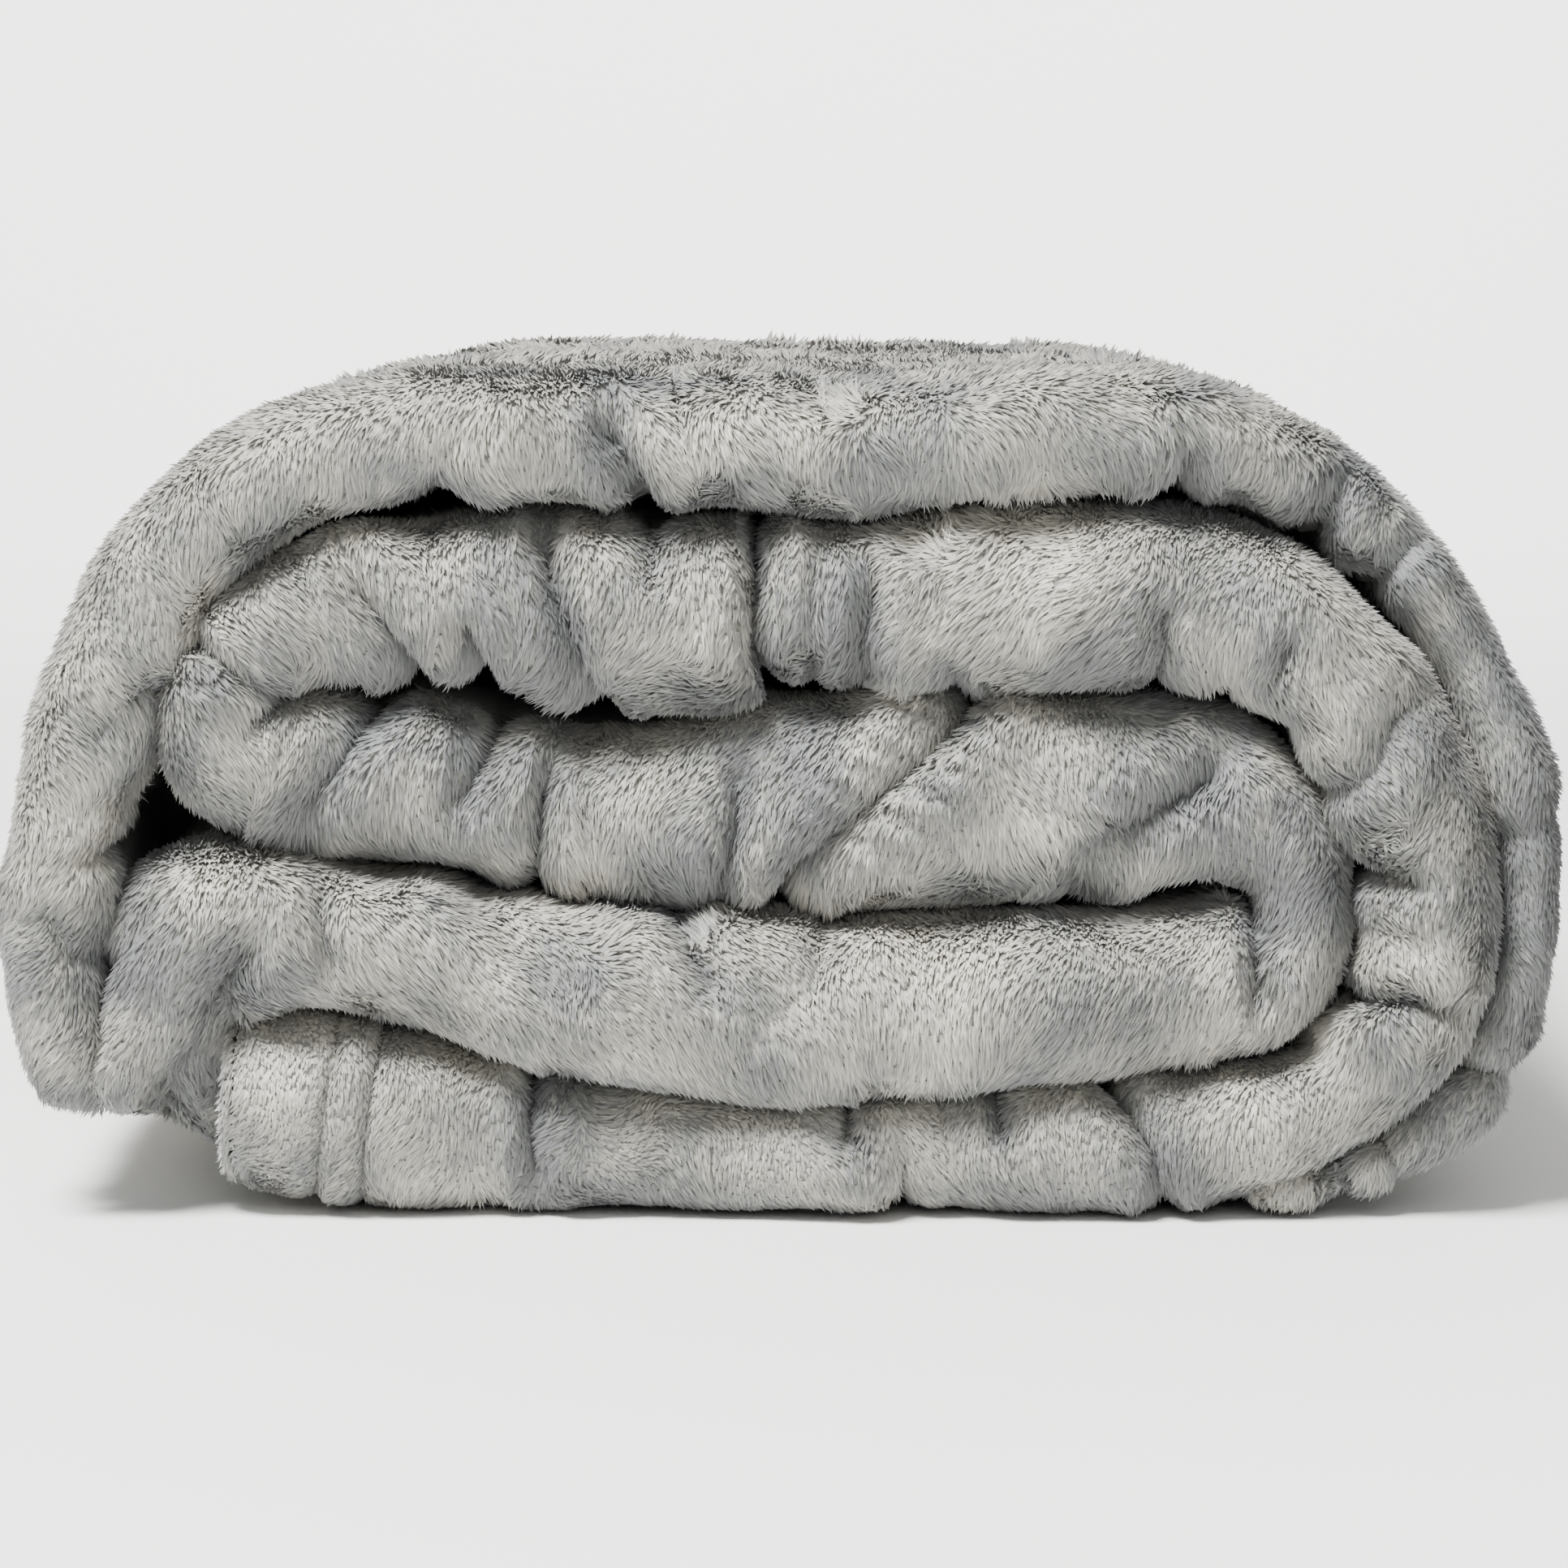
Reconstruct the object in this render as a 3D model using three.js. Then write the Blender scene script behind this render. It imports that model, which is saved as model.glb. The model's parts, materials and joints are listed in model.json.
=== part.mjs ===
// A plush throw, folded in four along its width and rolled flat into an S-shaped spiral.
// Millimetres, +Z up, the front of the roll towards -Y, origin on the ground under its centre.
// It is one cloth: every run and turn below is a stretch of the same four-ply strip, and each
// stretch is drawn between an outer and an inner edge in the XZ plane and runs the depth of the
// roll along Y. Stitch rows, hems and the care label are pieces of their own.

import * as THREE from 'three';
import { mergeVertices } from 'three/addons/utils/BufferGeometryUtils.js';

// The cloth as it was cut and hemmed
const throwWidth = 1270;        // folded in four, this gives the depth of the roll
const foldCount = 4;
const hemWidth = 25.4;
const stitchRowInsets = [17, 25];   // from the hemmed edge to each row of the double stitch
const threadWidth = 0.8;
const threadGap = 0.3;          // between a thread and the cloth under it

// The roll
const rollWidth = 300;
const outerLoft = 25;           // thickness of the four plies in each stretch
const outerLeftLoft = 23;
const flapLoft = 15;
const innerLoft = 33;
const innerSideLoft = 27;
const coreLoft = 38;
const lowerLoft = 34;
const bottomLoft = 28;
const foldReach = 32;           // how far a tight fold of the core bulges past its runs
const lowerLeftInside = 12;     // inside radius of the corner at the lower left
const layerGap = 0.8;           // air between layers that lie on each other
const leftHollow = 8;           // air between the core's left fold and the outer wrap
const seamGap = 0.3;            // between two stretches of the cloth that follow each other
const edgeRound = 12;           // how deep the folds at the front and back are rounded
const innerEndInset = 45;       // from the roll's left side to the inner end of the throw
const outerEndInset = 52;       // from the roll's right side to the outer end of the throw

// The care label, sewn in at the second stitch row on the left side
const labelLength = 45;
const labelHeight = 22;
const labelThickness = 0.5;

// Smoothness of the shapes
const turnSteps = 14;
const hemSteps = 6;
const roundSegments = 6;

// Places that follow from the sizes above
const stripDepth = throwWidth / foldCount;
const rollLeft = -rollWidth / 2;
const rollRight = rollWidth / 2;
const lowerBottom = bottomLoft + layerGap;
const lowerTop = lowerBottom + lowerLoft;
const coreBottom = lowerTop + layerGap;
const coreTop = coreBottom + coreLoft;
const innerBottom = coreTop + layerGap;
const innerTop = innerBottom + innerLoft;
const outerBottom = innerTop + layerGap;
const rollTop = outerBottom + outerLoft;
const innerRight = rollRight - flapLoft - layerGap;
const turnRightX = innerRight - innerSideLoft - layerGap - foldReach;
const turnLeftX = rollLeft + outerLeftLoft + leftHollow + foldReach;
const innerMiddle = innerTop / 2;
const leftFoldMiddle = (coreBottom + innerTop) / 2;
const innerEndX = rollLeft + innerEndInset;
const outerEndX = rollRight - outerEndInset;
const threadStand = threadWidth + threadGap;    // cloth under a thread is set in by this much

const plush = { color: 0xa9a9a6, roughness: 0.95, metalness: 0 };
const plushShade = { color: 0x9b9c9c, roughness: 0.95, metalness: 0 };
const hemPlush = { color: 0xb7b7b4, roughness: 0.92, metalness: 0 };
const thread = { color: 0x8f9090, roughness: 0.6, metalness: 0 };
const satin = { color: 0xefeeea, roughness: 0.45, metalness: 0 };

// Points along a straight edge, and along part of an ellipse between two angles in degrees.
function straight(x1, z1, x2, z2, steps = 1) {
  return new THREE.LineCurve(new THREE.Vector2(x1, z1), new THREE.Vector2(x2, z2)).getPoints(steps);
}

function arc(x, z, reachX, reachZ, from, to, steps = turnSteps) {
  const start = THREE.MathUtils.degToRad(from);
  const end = THREE.MathUtils.degToRad(to);
  return new THREE.EllipseCurve(x, z, reachX, reachZ, start, end, to < from).getPoints(steps);
}

// Joins stretches of an edge that meet end to end, leaving out the doubled points.
function edge(...stretches) {
  return stretches.flatMap((points, index) => (index ? points.slice(1) : points));
}

// The section across the strip: 0 is its inner edge, 1 its outer edge, and y runs the depth.
// inset draws it smaller on all sides, as a share of the thickness across and in mm along y.
function roundedSection(thickness, inset, shapeClass = THREE.Shape) {
  const side = inset / thickness;
  const half = stripDepth / 2 - inset;
  const round = edgeRound - inset;
  const section = new shapeClass();
  section.moveTo(side, round - half);
  section.absellipse(0.5, round - half, 0.5 - side, round, Math.PI, 2 * Math.PI, false, 0);
  section.lineTo(1 - side, half - round);
  section.absellipse(0.5, half - round, 0.5 - side, round, 0, Math.PI, false, 0);
  section.closePath();
  return section;
}

// The section of a thread that runs along the strip at one place in its depth.
function rowSection(yMiddle) {
  const section = new THREE.Shape();
  section.moveTo(0, yMiddle - threadWidth / 2);
  section.lineTo(1, yMiddle - threadWidth / 2);
  section.lineTo(1, yMiddle + threadWidth / 2);
  section.lineTo(0, yMiddle + threadWidth / 2);
  section.closePath();
  return section;
}

// Six times the volume that the triangles enclose, negative where they face inwards.
function signedVolume(position) {
  const a = new THREE.Vector3();
  const b = new THREE.Vector3();
  const c = new THREE.Vector3();
  let sum = 0;
  for (let i = 0; i < position.count; i += 3) {
    a.fromBufferAttribute(position, i);
    b.fromBufferAttribute(position, i + 1);
    c.fromBufferAttribute(position, i + 2);
    sum += a.dot(b.cross(c));
  }
  return sum;
}

// Turns every triangle round when they face inwards.
function faceOutwards(position) {
  if (signedVolume(position) > 0) {
    return;
  }
  const first = new THREE.Vector3();
  const second = new THREE.Vector3();
  for (let i = 0; i < position.count; i += 3) {
    first.fromBufferAttribute(position, i + 1);
    second.fromBufferAttribute(position, i + 2);
    position.setXYZ(i + 1, second.x, second.y, second.z);
    position.setXYZ(i + 2, first.x, first.y, first.z);
  }
}

// Draws a section as a straight bar with one step for each pair of edge points, and bends it so
// that it lies between the two edges.
function bentStrip(section, outer, inner) {
  const steps = outer.length - 1;
  const options = { depth: steps, steps, bevelEnabled: false, curveSegments: roundSegments };
  const geometry = new THREE.ExtrudeGeometry(section, options);
  geometry.deleteAttribute('normal');
  geometry.deleteAttribute('uv');
  const position = geometry.getAttribute('position');
  const place = new THREE.Vector2();
  for (let i = 0; i < position.count; i += 1) {
    const station = Math.round(position.getZ(i));
    place.lerpVectors(inner[station], outer[station], position.getX(i));
    position.setXYZ(i, place.x, position.getY(i), place.y);
  }
  faceOutwards(position);
  const welded = mergeVertices(geometry, 1e-4);
  welded.computeVertexNormals();
  return welded;
}

function piece(name, geometry, finish) {
  const mesh = new THREE.Mesh(geometry, new THREE.MeshStandardMaterial(finish));
  mesh.name = name;
  return mesh;
}

// A stretch of the four-ply strip with rounded folds at the front and back.
function plies(name, outer, inner, finish = plush, inset = 0) {
  const thickness = outer[0].distanceTo(inner[0]);
  return piece(name, bentStrip(roundedSection(thickness, inset), outer, inner), finish);
}

// A level run between two heights, a seam gap short of its neighbours.
function levelRun(name, x1, x2, bottom, top, finish) {
  const from = x1 + seamGap / 2;
  const to = x2 - seamGap / 2;
  return plies(name, straight(from, top, to, top), straight(from, bottom, to, bottom), finish);
}

// A tight fold that joins two runs: round outside, with only the gap between the runs inside.
function tightFold(name, x, bottom, top, gapBottom, side, finish) {
  const middle = (bottom + top) / 2;
  const gapMiddle = gapBottom + layerGap / 2;
  const start = x + side * seamGap / 2;
  const turn = side > 0 ? [90, -90] : [90, 270];
  const outer = arc(start, middle, foldReach - seamGap / 2, top - middle, ...turn);
  const inner = arc(start, gapMiddle, layerGap / 2, layerGap / 2, ...turn);
  return plies(name, outer, inner, finish);
}

// The strip round the right side of the core, from the top of the roll to the ground.
function innerRightTurn() {
  const start = turnRightX + seamGap / 2;
  const outer = arc(start, innerMiddle, innerRight - start, innerMiddle, 90, -90);
  const insideMiddle = (innerBottom + bottomLoft) / 2;
  const insideReach = innerRight - innerSideLoft - start;
  const inner = arc(start, insideMiddle, insideReach, innerBottom - insideMiddle, 90, -90);
  return plies('inner_right_turn', outer, inner);
}

// The outer wrap's outside edge down the left side, set in by the given amount.
function leftWrapEdge(inset) {
  const reachX = turnLeftX - rollLeft - inset;
  return arc(turnLeftX, leftFoldMiddle, reachX, rollTop - leftFoldMiddle - inset, 90, 180);
}

function outerLeftShoulder() {
  const inner = arc(turnLeftX, leftFoldMiddle, turnLeftX - rollLeft - outerLeftLoft,
    outerBottom - leftFoldMiddle, 90, 180);
  return plies('outer_left_shoulder', leftWrapEdge(threadStand), inner);
}

function outerLeftSide() {
  const top = leftFoldMiddle - seamGap;
  const bottom = lowerTop + lowerLeftInside + seamGap;
  const outside = rollLeft + threadStand;
  const inside = rollLeft + outerLeftLoft;
  return plies('outer_left_side', straight(outside, top, outside, bottom),
    straight(inside, top, inside, bottom));
}

function outerLeftTurn() {
  const x = rollLeft + outerLeftLoft + lowerLeftInside;
  const z = lowerTop + lowerLeftInside;
  const outer = arc(x, z, x - rollLeft - threadStand, z - lowerBottom, 180, 270);
  const inner = arc(x, z, lowerLeftInside, lowerLeftInside, 180, 270);
  return plies('outer_left_turn', outer, inner, plushShade);
}

// The free outer end, in three stretches: over the shoulder, then down the side, then the tail
// that narrows into the wedge under the roll's round corner.
function shoulderEdge(inset) {
  const start = turnRightX + seamGap / 2;
  return arc(start, innerMiddle, rollRight - start - inset, rollTop - innerMiddle - inset, 90, 0);
}

function tailOutside(inset) {
  const outside = rollRight - inset;
  const cornerReach = innerMiddle / 3;
  return new THREE.CubicBezierCurve(
    new THREE.Vector2(outside, innerMiddle - seamGap),
    new THREE.Vector2(outside, cornerReach),
    new THREE.Vector2(outside - cornerReach, inset),
    new THREE.Vector2(outerEndX, inset),
  );
}

function tailInside() {
  const reachX = innerRight + layerGap - turnRightX;
  const reachZ = innerMiddle + layerGap;
  const end = -Math.acos((outerEndX - turnRightX) / reachX);
  return new THREE.EllipseCurve(turnRightX, innerMiddle - seamGap, reachX, reachZ, 0, end, true);
}

// Points along a share of a curve, from one share of its length to another.
function share(curve, from, to, steps) {
  const points = [];
  for (let i = 0; i <= steps; i += 1) {
    points.push(curve.getPointAt(THREE.MathUtils.lerp(from, to, i / steps)));
  }
  return points;
}

function shoulderFlap() {
  const start = turnRightX + seamGap / 2;
  const inner = arc(start, innerMiddle, innerRight + layerGap - start,
    outerBottom - innerMiddle, 90, 0);
  return plies('outer_right_shoulder', shoulderEdge(threadStand), inner);
}

// Where the hem starts on the tail, as a share of the tail's length.
function hemShare() {
  return 1 - hemWidth / tailOutside(threadStand).getLength();
}

function tailFlap() {
  const end = hemShare() - seamGap / tailOutside(threadStand).getLength();
  return plies('outer_right_tail', share(tailOutside(threadStand), 0, end, turnSteps),
    share(tailInside(), 0, end, turnSteps), plushShade);
}

function outerEndHem() {
  return plies('outer_end_hem', share(tailOutside(threadStand), hemShare(), 1, hemSteps),
    share(tailInside(), hemShare(), 1, hemSteps).map(clearOfRow), hemPlush);
}

// Sets a point of the tail's inner edge back so that a thread fits over the hem.
function clearOfRow(point) {
  const middle = new THREE.Vector2(turnRightX, innerMiddle);
  const away = point.clone().sub(middle).normalize();
  return point.clone().addScaledVector(away, threadStand);
}

// A row of stitches across the outer end, on the outside of the hem.
function outerEndStitch(name, rowInset) {
  const length = tailOutside(0).getLength();
  const at = 1 - rowInset / length;
  const to = at + threadWidth / length;
  const outer = share(tailOutside(0), at, to, 1);
  const inner = share(tailOutside(threadWidth), at, to, 1);
  return piece(name, bentStrip(rowAcross(), outer, inner), thread);
}

// The section of a thread that lies across the whole depth of the strip.
function rowAcross() {
  const half = stripDepth / 2 - edgeRound;
  const section = new THREE.Shape();
  section.moveTo(0, -half);
  section.lineTo(1, -half);
  section.lineTo(1, half);
  section.lineTo(0, half);
  section.closePath();
  return section;
}

// The inner end of the throw, which lies at the front on the ground: a hem band set in on all
// sides, and two thread loops that wrap round it level with the run beside it.
function innerEndHem() {
  const from = innerEndX;
  const to = innerEndX + hemWidth - seamGap;
  return plies('inner_end_hem', straight(from, bottomLoft, to, bottomLoft),
    straight(from, 0, to, 0), hemPlush, threadStand);
}

function innerEndStitch(name, rowInset) {
  const x = innerEndX + rowInset - threadWidth;
  const section = roundedSection(bottomLoft, 0);
  section.holes.push(roundedSection(bottomLoft, threadWidth, THREE.Path));
  const outer = straight(x, bottomLoft, x + threadWidth, bottomLoft);
  const inner = straight(x, 0, x + threadWidth, 0);
  return piece(name, bentStrip(section, outer, inner), thread);
}

// The side hem's rows, which lie on the outer wrap near the back of the roll.
function rollSideStitch(name, rowInset) {
  const section = rowSection(stripDepth / 2 - rowInset);
  const sideBottom = lowerTop + lowerLeftInside;
  const path = (inset) => edge(
    straight(turnRightX - seamGap / 2, rollTop - inset, turnLeftX, rollTop - inset),
    leftWrapEdge(inset),
    straight(rollLeft + inset, leftFoldMiddle, rollLeft + inset, sideBottom),
  );
  return piece(name, bentStrip(section, path(0), path(threadWidth)), thread);
}

function flapSideStitch(name, rowInset) {
  const section = rowSection(stripDepth / 2 - rowInset);
  const lastRow = Math.max(...stitchRowInsets);
  const path = (inset) => {
    const end = 1 - (lastRow + hemWidth) / tailOutside(inset).getLength();
    return edge(
      shoulderEdge(inset),
      straight(rollRight - inset, innerMiddle, rollRight - inset, innerMiddle - seamGap),
      share(tailOutside(inset), 0, end, turnSteps),
    );
  };
  return piece(name, bentStrip(section, path(0), path(threadWidth)), thread);
}

// A blank satin label that lies forwards from the second row of the side hem.
function careLabel() {
  const label = piece('care_label',
    new THREE.BoxGeometry(labelThickness, labelLength, labelHeight), satin);
  const back = stripDepth / 2 - Math.max(...stitchRowInsets) - threadStand;
  const straightMiddle = (leftFoldMiddle + lowerTop + lowerLeftInside) / 2;
  label.position.set(rollLeft + labelThickness / 2, back - labelLength / 2, straightMiddle);
  return label;
}

function buildCore() {
  const core = new THREE.Group();
  core.add(levelRun('core_run', turnLeftX, turnRightX, coreBottom, coreTop, plushShade));
  core.add(tightFold('core_left_turn', turnLeftX, coreBottom, innerTop, coreTop, -1, plushShade));
  core.add(tightFold('core_right_turn', turnRightX, lowerBottom, coreTop, lowerTop, 1, plushShade));
  return core;
}

function buildInnerWrap() {
  const wrap = new THREE.Group();
  wrap.add(levelRun('inner_top_run', turnLeftX, turnRightX, innerBottom, innerTop, plush));
  wrap.add(innerRightTurn());
  wrap.add(levelRun('inner_bottom_run', innerEndX + hemWidth, turnRightX, 0, bottomLoft, plush));
  wrap.add(innerEndHem());
  stitchRowInsets.forEach((inset, index) => {
    wrap.add(innerEndStitch(`inner_end_stitch_${index + 1}`, inset));
  });
  return wrap;
}

function buildOuterWrap() {
  const wrap = new THREE.Group();
  const lowerLeft = rollLeft + outerLeftLoft + lowerLeftInside;
  wrap.add(levelRun('lower_run', lowerLeft, turnRightX, lowerBottom, lowerTop, plush));
  wrap.add(outerLeftTurn());
  wrap.add(outerLeftSide());
  wrap.add(outerLeftShoulder());
  wrap.add(levelRun('outer_top_run', turnLeftX, turnRightX, outerBottom, rollTop - threadStand, plush));
  stitchRowInsets.forEach((inset, index) => {
    wrap.add(rollSideStitch(`side_stitch_${index + 1}`, inset));
  });
  wrap.add(careLabel());
  return wrap;
}

function buildOuterEnd() {
  const end = new THREE.Group();
  end.add(shoulderFlap());
  end.add(tailFlap());
  end.add(outerEndHem());
  stitchRowInsets.forEach((inset, index) => {
    end.add(outerEndStitch(`outer_end_stitch_${index + 1}`, inset));
    end.add(flapSideStitch(`flap_side_stitch_${index + 1}`, inset));
  });
  return end;
}

const rolledThrow = new THREE.Group();
rolledThrow.add(buildCore(), buildInnerWrap(), buildOuterWrap(), buildOuterEnd());

export default rolledThrow;
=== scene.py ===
import json
import math

import bpy
import numpy as np
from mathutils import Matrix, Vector


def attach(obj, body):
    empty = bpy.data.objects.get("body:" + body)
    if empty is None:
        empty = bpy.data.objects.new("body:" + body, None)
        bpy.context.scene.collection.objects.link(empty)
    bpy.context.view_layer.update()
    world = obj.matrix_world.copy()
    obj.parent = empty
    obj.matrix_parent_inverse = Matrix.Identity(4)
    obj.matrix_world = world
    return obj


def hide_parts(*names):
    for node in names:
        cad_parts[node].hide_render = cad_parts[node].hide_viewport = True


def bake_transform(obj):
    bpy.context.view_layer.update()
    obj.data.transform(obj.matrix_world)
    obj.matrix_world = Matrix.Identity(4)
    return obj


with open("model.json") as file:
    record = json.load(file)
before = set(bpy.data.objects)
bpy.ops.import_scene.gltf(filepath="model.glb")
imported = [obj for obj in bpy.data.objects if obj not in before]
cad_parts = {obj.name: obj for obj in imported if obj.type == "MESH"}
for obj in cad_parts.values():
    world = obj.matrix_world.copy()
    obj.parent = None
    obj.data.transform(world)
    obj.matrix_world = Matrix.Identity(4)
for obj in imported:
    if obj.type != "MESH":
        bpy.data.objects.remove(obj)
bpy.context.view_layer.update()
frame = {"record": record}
mm = 0.001

# The throw is one plush cloth, folded in four and rolled up. It is made here as the real thing:
# a strip of four plies follows the spiral, and the plies turn into each other at the front and
# back. The pile stands on it as tufts of fibre, and the hems have their double rows of stitches.


def toLinear(hexColour):
    channels = [int(hexColour[i:i + 2], 16) / 255 for i in (1, 3, 5)]
    return [c / 12.92 if c <= 0.04045 else ((c + 0.055) / 1.055) ** 2.4 for c in channels] + [1.0]


def addNode(tree, kind, inputs=None, **settings):
    # one node with its settings, and its inputs either linked or set
    node = tree.nodes.new(kind)
    for name, value in settings.items():
        setattr(node, name, value)
    for key, value in (inputs or {}).items():
        if isinstance(value, bpy.types.NodeSocket):
            tree.links.new(value, node.inputs[key])
        else:
            node.inputs[key].default_value = value
    return node


def newObject(name, data):
    # an object that holds the data, placed in the scene
    made = bpy.data.objects.new(name, data)
    bpy.context.scene.collection.objects.link(made)
    return made


def softNoise(points, size, seed, waves=7):
    # smooth noise of about unit size, with features about as large as size
    random = np.random.default_rng(seed)
    total = np.zeros(len(points))
    for _ in range(waves):
        way = random.normal(size=3)
        way /= np.linalg.norm(way)
        length = size * random.uniform(1.3, 2.6)
        total += np.sin(points @ way * 2 * math.pi / length + random.uniform(0, 2 * math.pi))
    return total / math.sqrt(waves / 2)


def smoothStep(x):
    x = np.clip(x, 0, 1)
    return x * x * (3 - 2 * x)


# Materials.
def newMaterial(name, inputs):
    material = bpy.data.materials.new(name)
    material.use_nodes = True
    tree = material.node_tree
    tree.nodes.clear()
    shader = addNode(tree, "ShaderNodeBsdfPrincipled", inputs)
    addNode(tree, "ShaderNodeOutputMaterial", {"Surface": shader.outputs[0]})
    return material, tree, shader


# Microplush pile: drawn polyester filament, so each tuft is soft and a little silky. The five
# colours are lit and shaded copies of one pile colour: painted light and shade for the angle at
# which each tuft catches the light, and the darker ones also carry the painted shade of creases,
# folds and stitch rows.
pileLook = {"shades": ["#6c6e6d", "#81817d", "#96948c", "#a9a69c", "#bfbbaf"],
            "roughness": 0.62, "sheen": 0.35, "sheenRoughness": 0.4, "ior": 1.5}


def pileMaterials():
    made = []
    for number, shade in enumerate(pileLook["shades"]):
        material, _, _ = newMaterial(f"microplushPile{number + 1}", {
            "Base Color": toLinear(shade), "Roughness": pileLook["roughness"],
            "IOR": pileLook["ior"], "Sheen Weight": pileLook["sheen"],
            "Sheen Roughness": pileLook["sheenRoughness"]})
        made.append(material)
    return made


# Warp-knitted ground cloth under the pile: dull and a shade darker. Real wales are about 1 mm
# apart, and they are drawn a little coarser so that they show.
groundLook = {"deep": "#7d7d79", "light": "#a09d95", "wale": 1.7, "waver": 1.5, "blotch": 30.0,
              "roughness": 0.95, "sheen": 0.3, "bump": 0.5, "bumpDepth": 0.3}
# The bake map: the cut size in metres, and the share of its height that each face of the cloth has.
clothMap = {"length": 1.524, "width": 1.27, "share": 0.49}


def groundMaterial():
    material, tree, shader = newMaterial("knittedGround", {
        "Roughness": groundLook["roughness"], "Sheen Weight": groundLook["sheen"]})
    place = addNode(tree, "ShaderNodeUVMap", uv_map="OFBake")
    # the map runs along the cut length, so the wales are counted across the cut width
    wales = addNode(tree, "ShaderNodeMapping", {
        "Vector": place.outputs[0],
        "Scale": (clothMap["length"], clothMap["width"] / clothMap["share"], 1)})
    wave = addNode(tree, "ShaderNodeTexWave", {
        "Vector": wales.outputs[0], "Scale": math.pi / 10 / (groundLook["wale"] * mm),
        "Distortion": groundLook["waver"], "Detail": 1.0}, bands_direction="Y")
    blotch = addNode(tree, "ShaderNodeTexNoise", {
        "Vector": wales.outputs[0], "Scale": 1 / (groundLook["blotch"] * mm), "Detail": 4.0})
    mixed = addNode(tree, "ShaderNodeMath", {0: wave.outputs["Fac"], 1: blotch.outputs["Fac"]},
                    operation="MULTIPLY")
    ramp = addNode(tree, "ShaderNodeValToRGB", {"Fac": mixed.outputs[0]})
    ramp.color_ramp.elements[0].color = toLinear(groundLook["deep"])
    ramp.color_ramp.elements[1].color = toLinear(groundLook["light"])
    bump = addNode(tree, "ShaderNodeBump", {
        "Strength": groundLook["bump"], "Distance": groundLook["bumpDepth"] * mm,
        "Height": mixed.outputs[0]})
    tree.links.new(ramp.outputs[0], shader.inputs["Base Color"])
    tree.links.new(bump.outputs[0], shader.inputs["Normal"])
    return material


# Spun polyester sewing thread: grey, with a slight shine where it is pulled tight.
threadLook = {"colour": "#85878a", "roughness": 0.5, "sheen": 0.2}


def threadMaterial():
    return newMaterial("polyesterThread", {
        "Base Color": toLinear(threadLook["colour"]), "Roughness": threadLook["roughness"],
        "Sheen Weight": threadLook["sheen"]})[0]


# Woven satin ribbon: white and fairly smooth. Its ribs are finer than this in a real ribbon, and
# are drawn coarse enough to show.
satinLook = {"deep": "#e3e2dc", "light": "#f3f2ee", "rib": 2.618, "waver": 0.4,
             "roughness": 0.38, "sheen": 0.2}


def satinMaterial():
    material, tree, shader = newMaterial("satinRibbon", {
        "Roughness": satinLook["roughness"], "Sheen Weight": satinLook["sheen"]})
    place = addNode(tree, "ShaderNodeTexCoord")
    weave = addNode(tree, "ShaderNodeTexWave", {
        "Vector": place.outputs["Object"], "Scale": math.pi / 10 / (satinLook["rib"] * mm),
        "Distortion": satinLook["waver"]}, bands_direction="Y")
    ramp = addNode(tree, "ShaderNodeValToRGB", {"Fac": weave.outputs["Fac"]})
    ramp.color_ramp.elements[0].color = toLinear(satinLook["deep"])
    ramp.color_ramp.elements[1].color = toLinear(satinLook["light"])
    tree.links.new(ramp.outputs[0], shader.inputs["Base Color"])
    return material


shades = pileMaterials()
ground = groundMaterial()
thread = threadMaterial()
satin = satinMaterial()
print("materials made")

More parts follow.
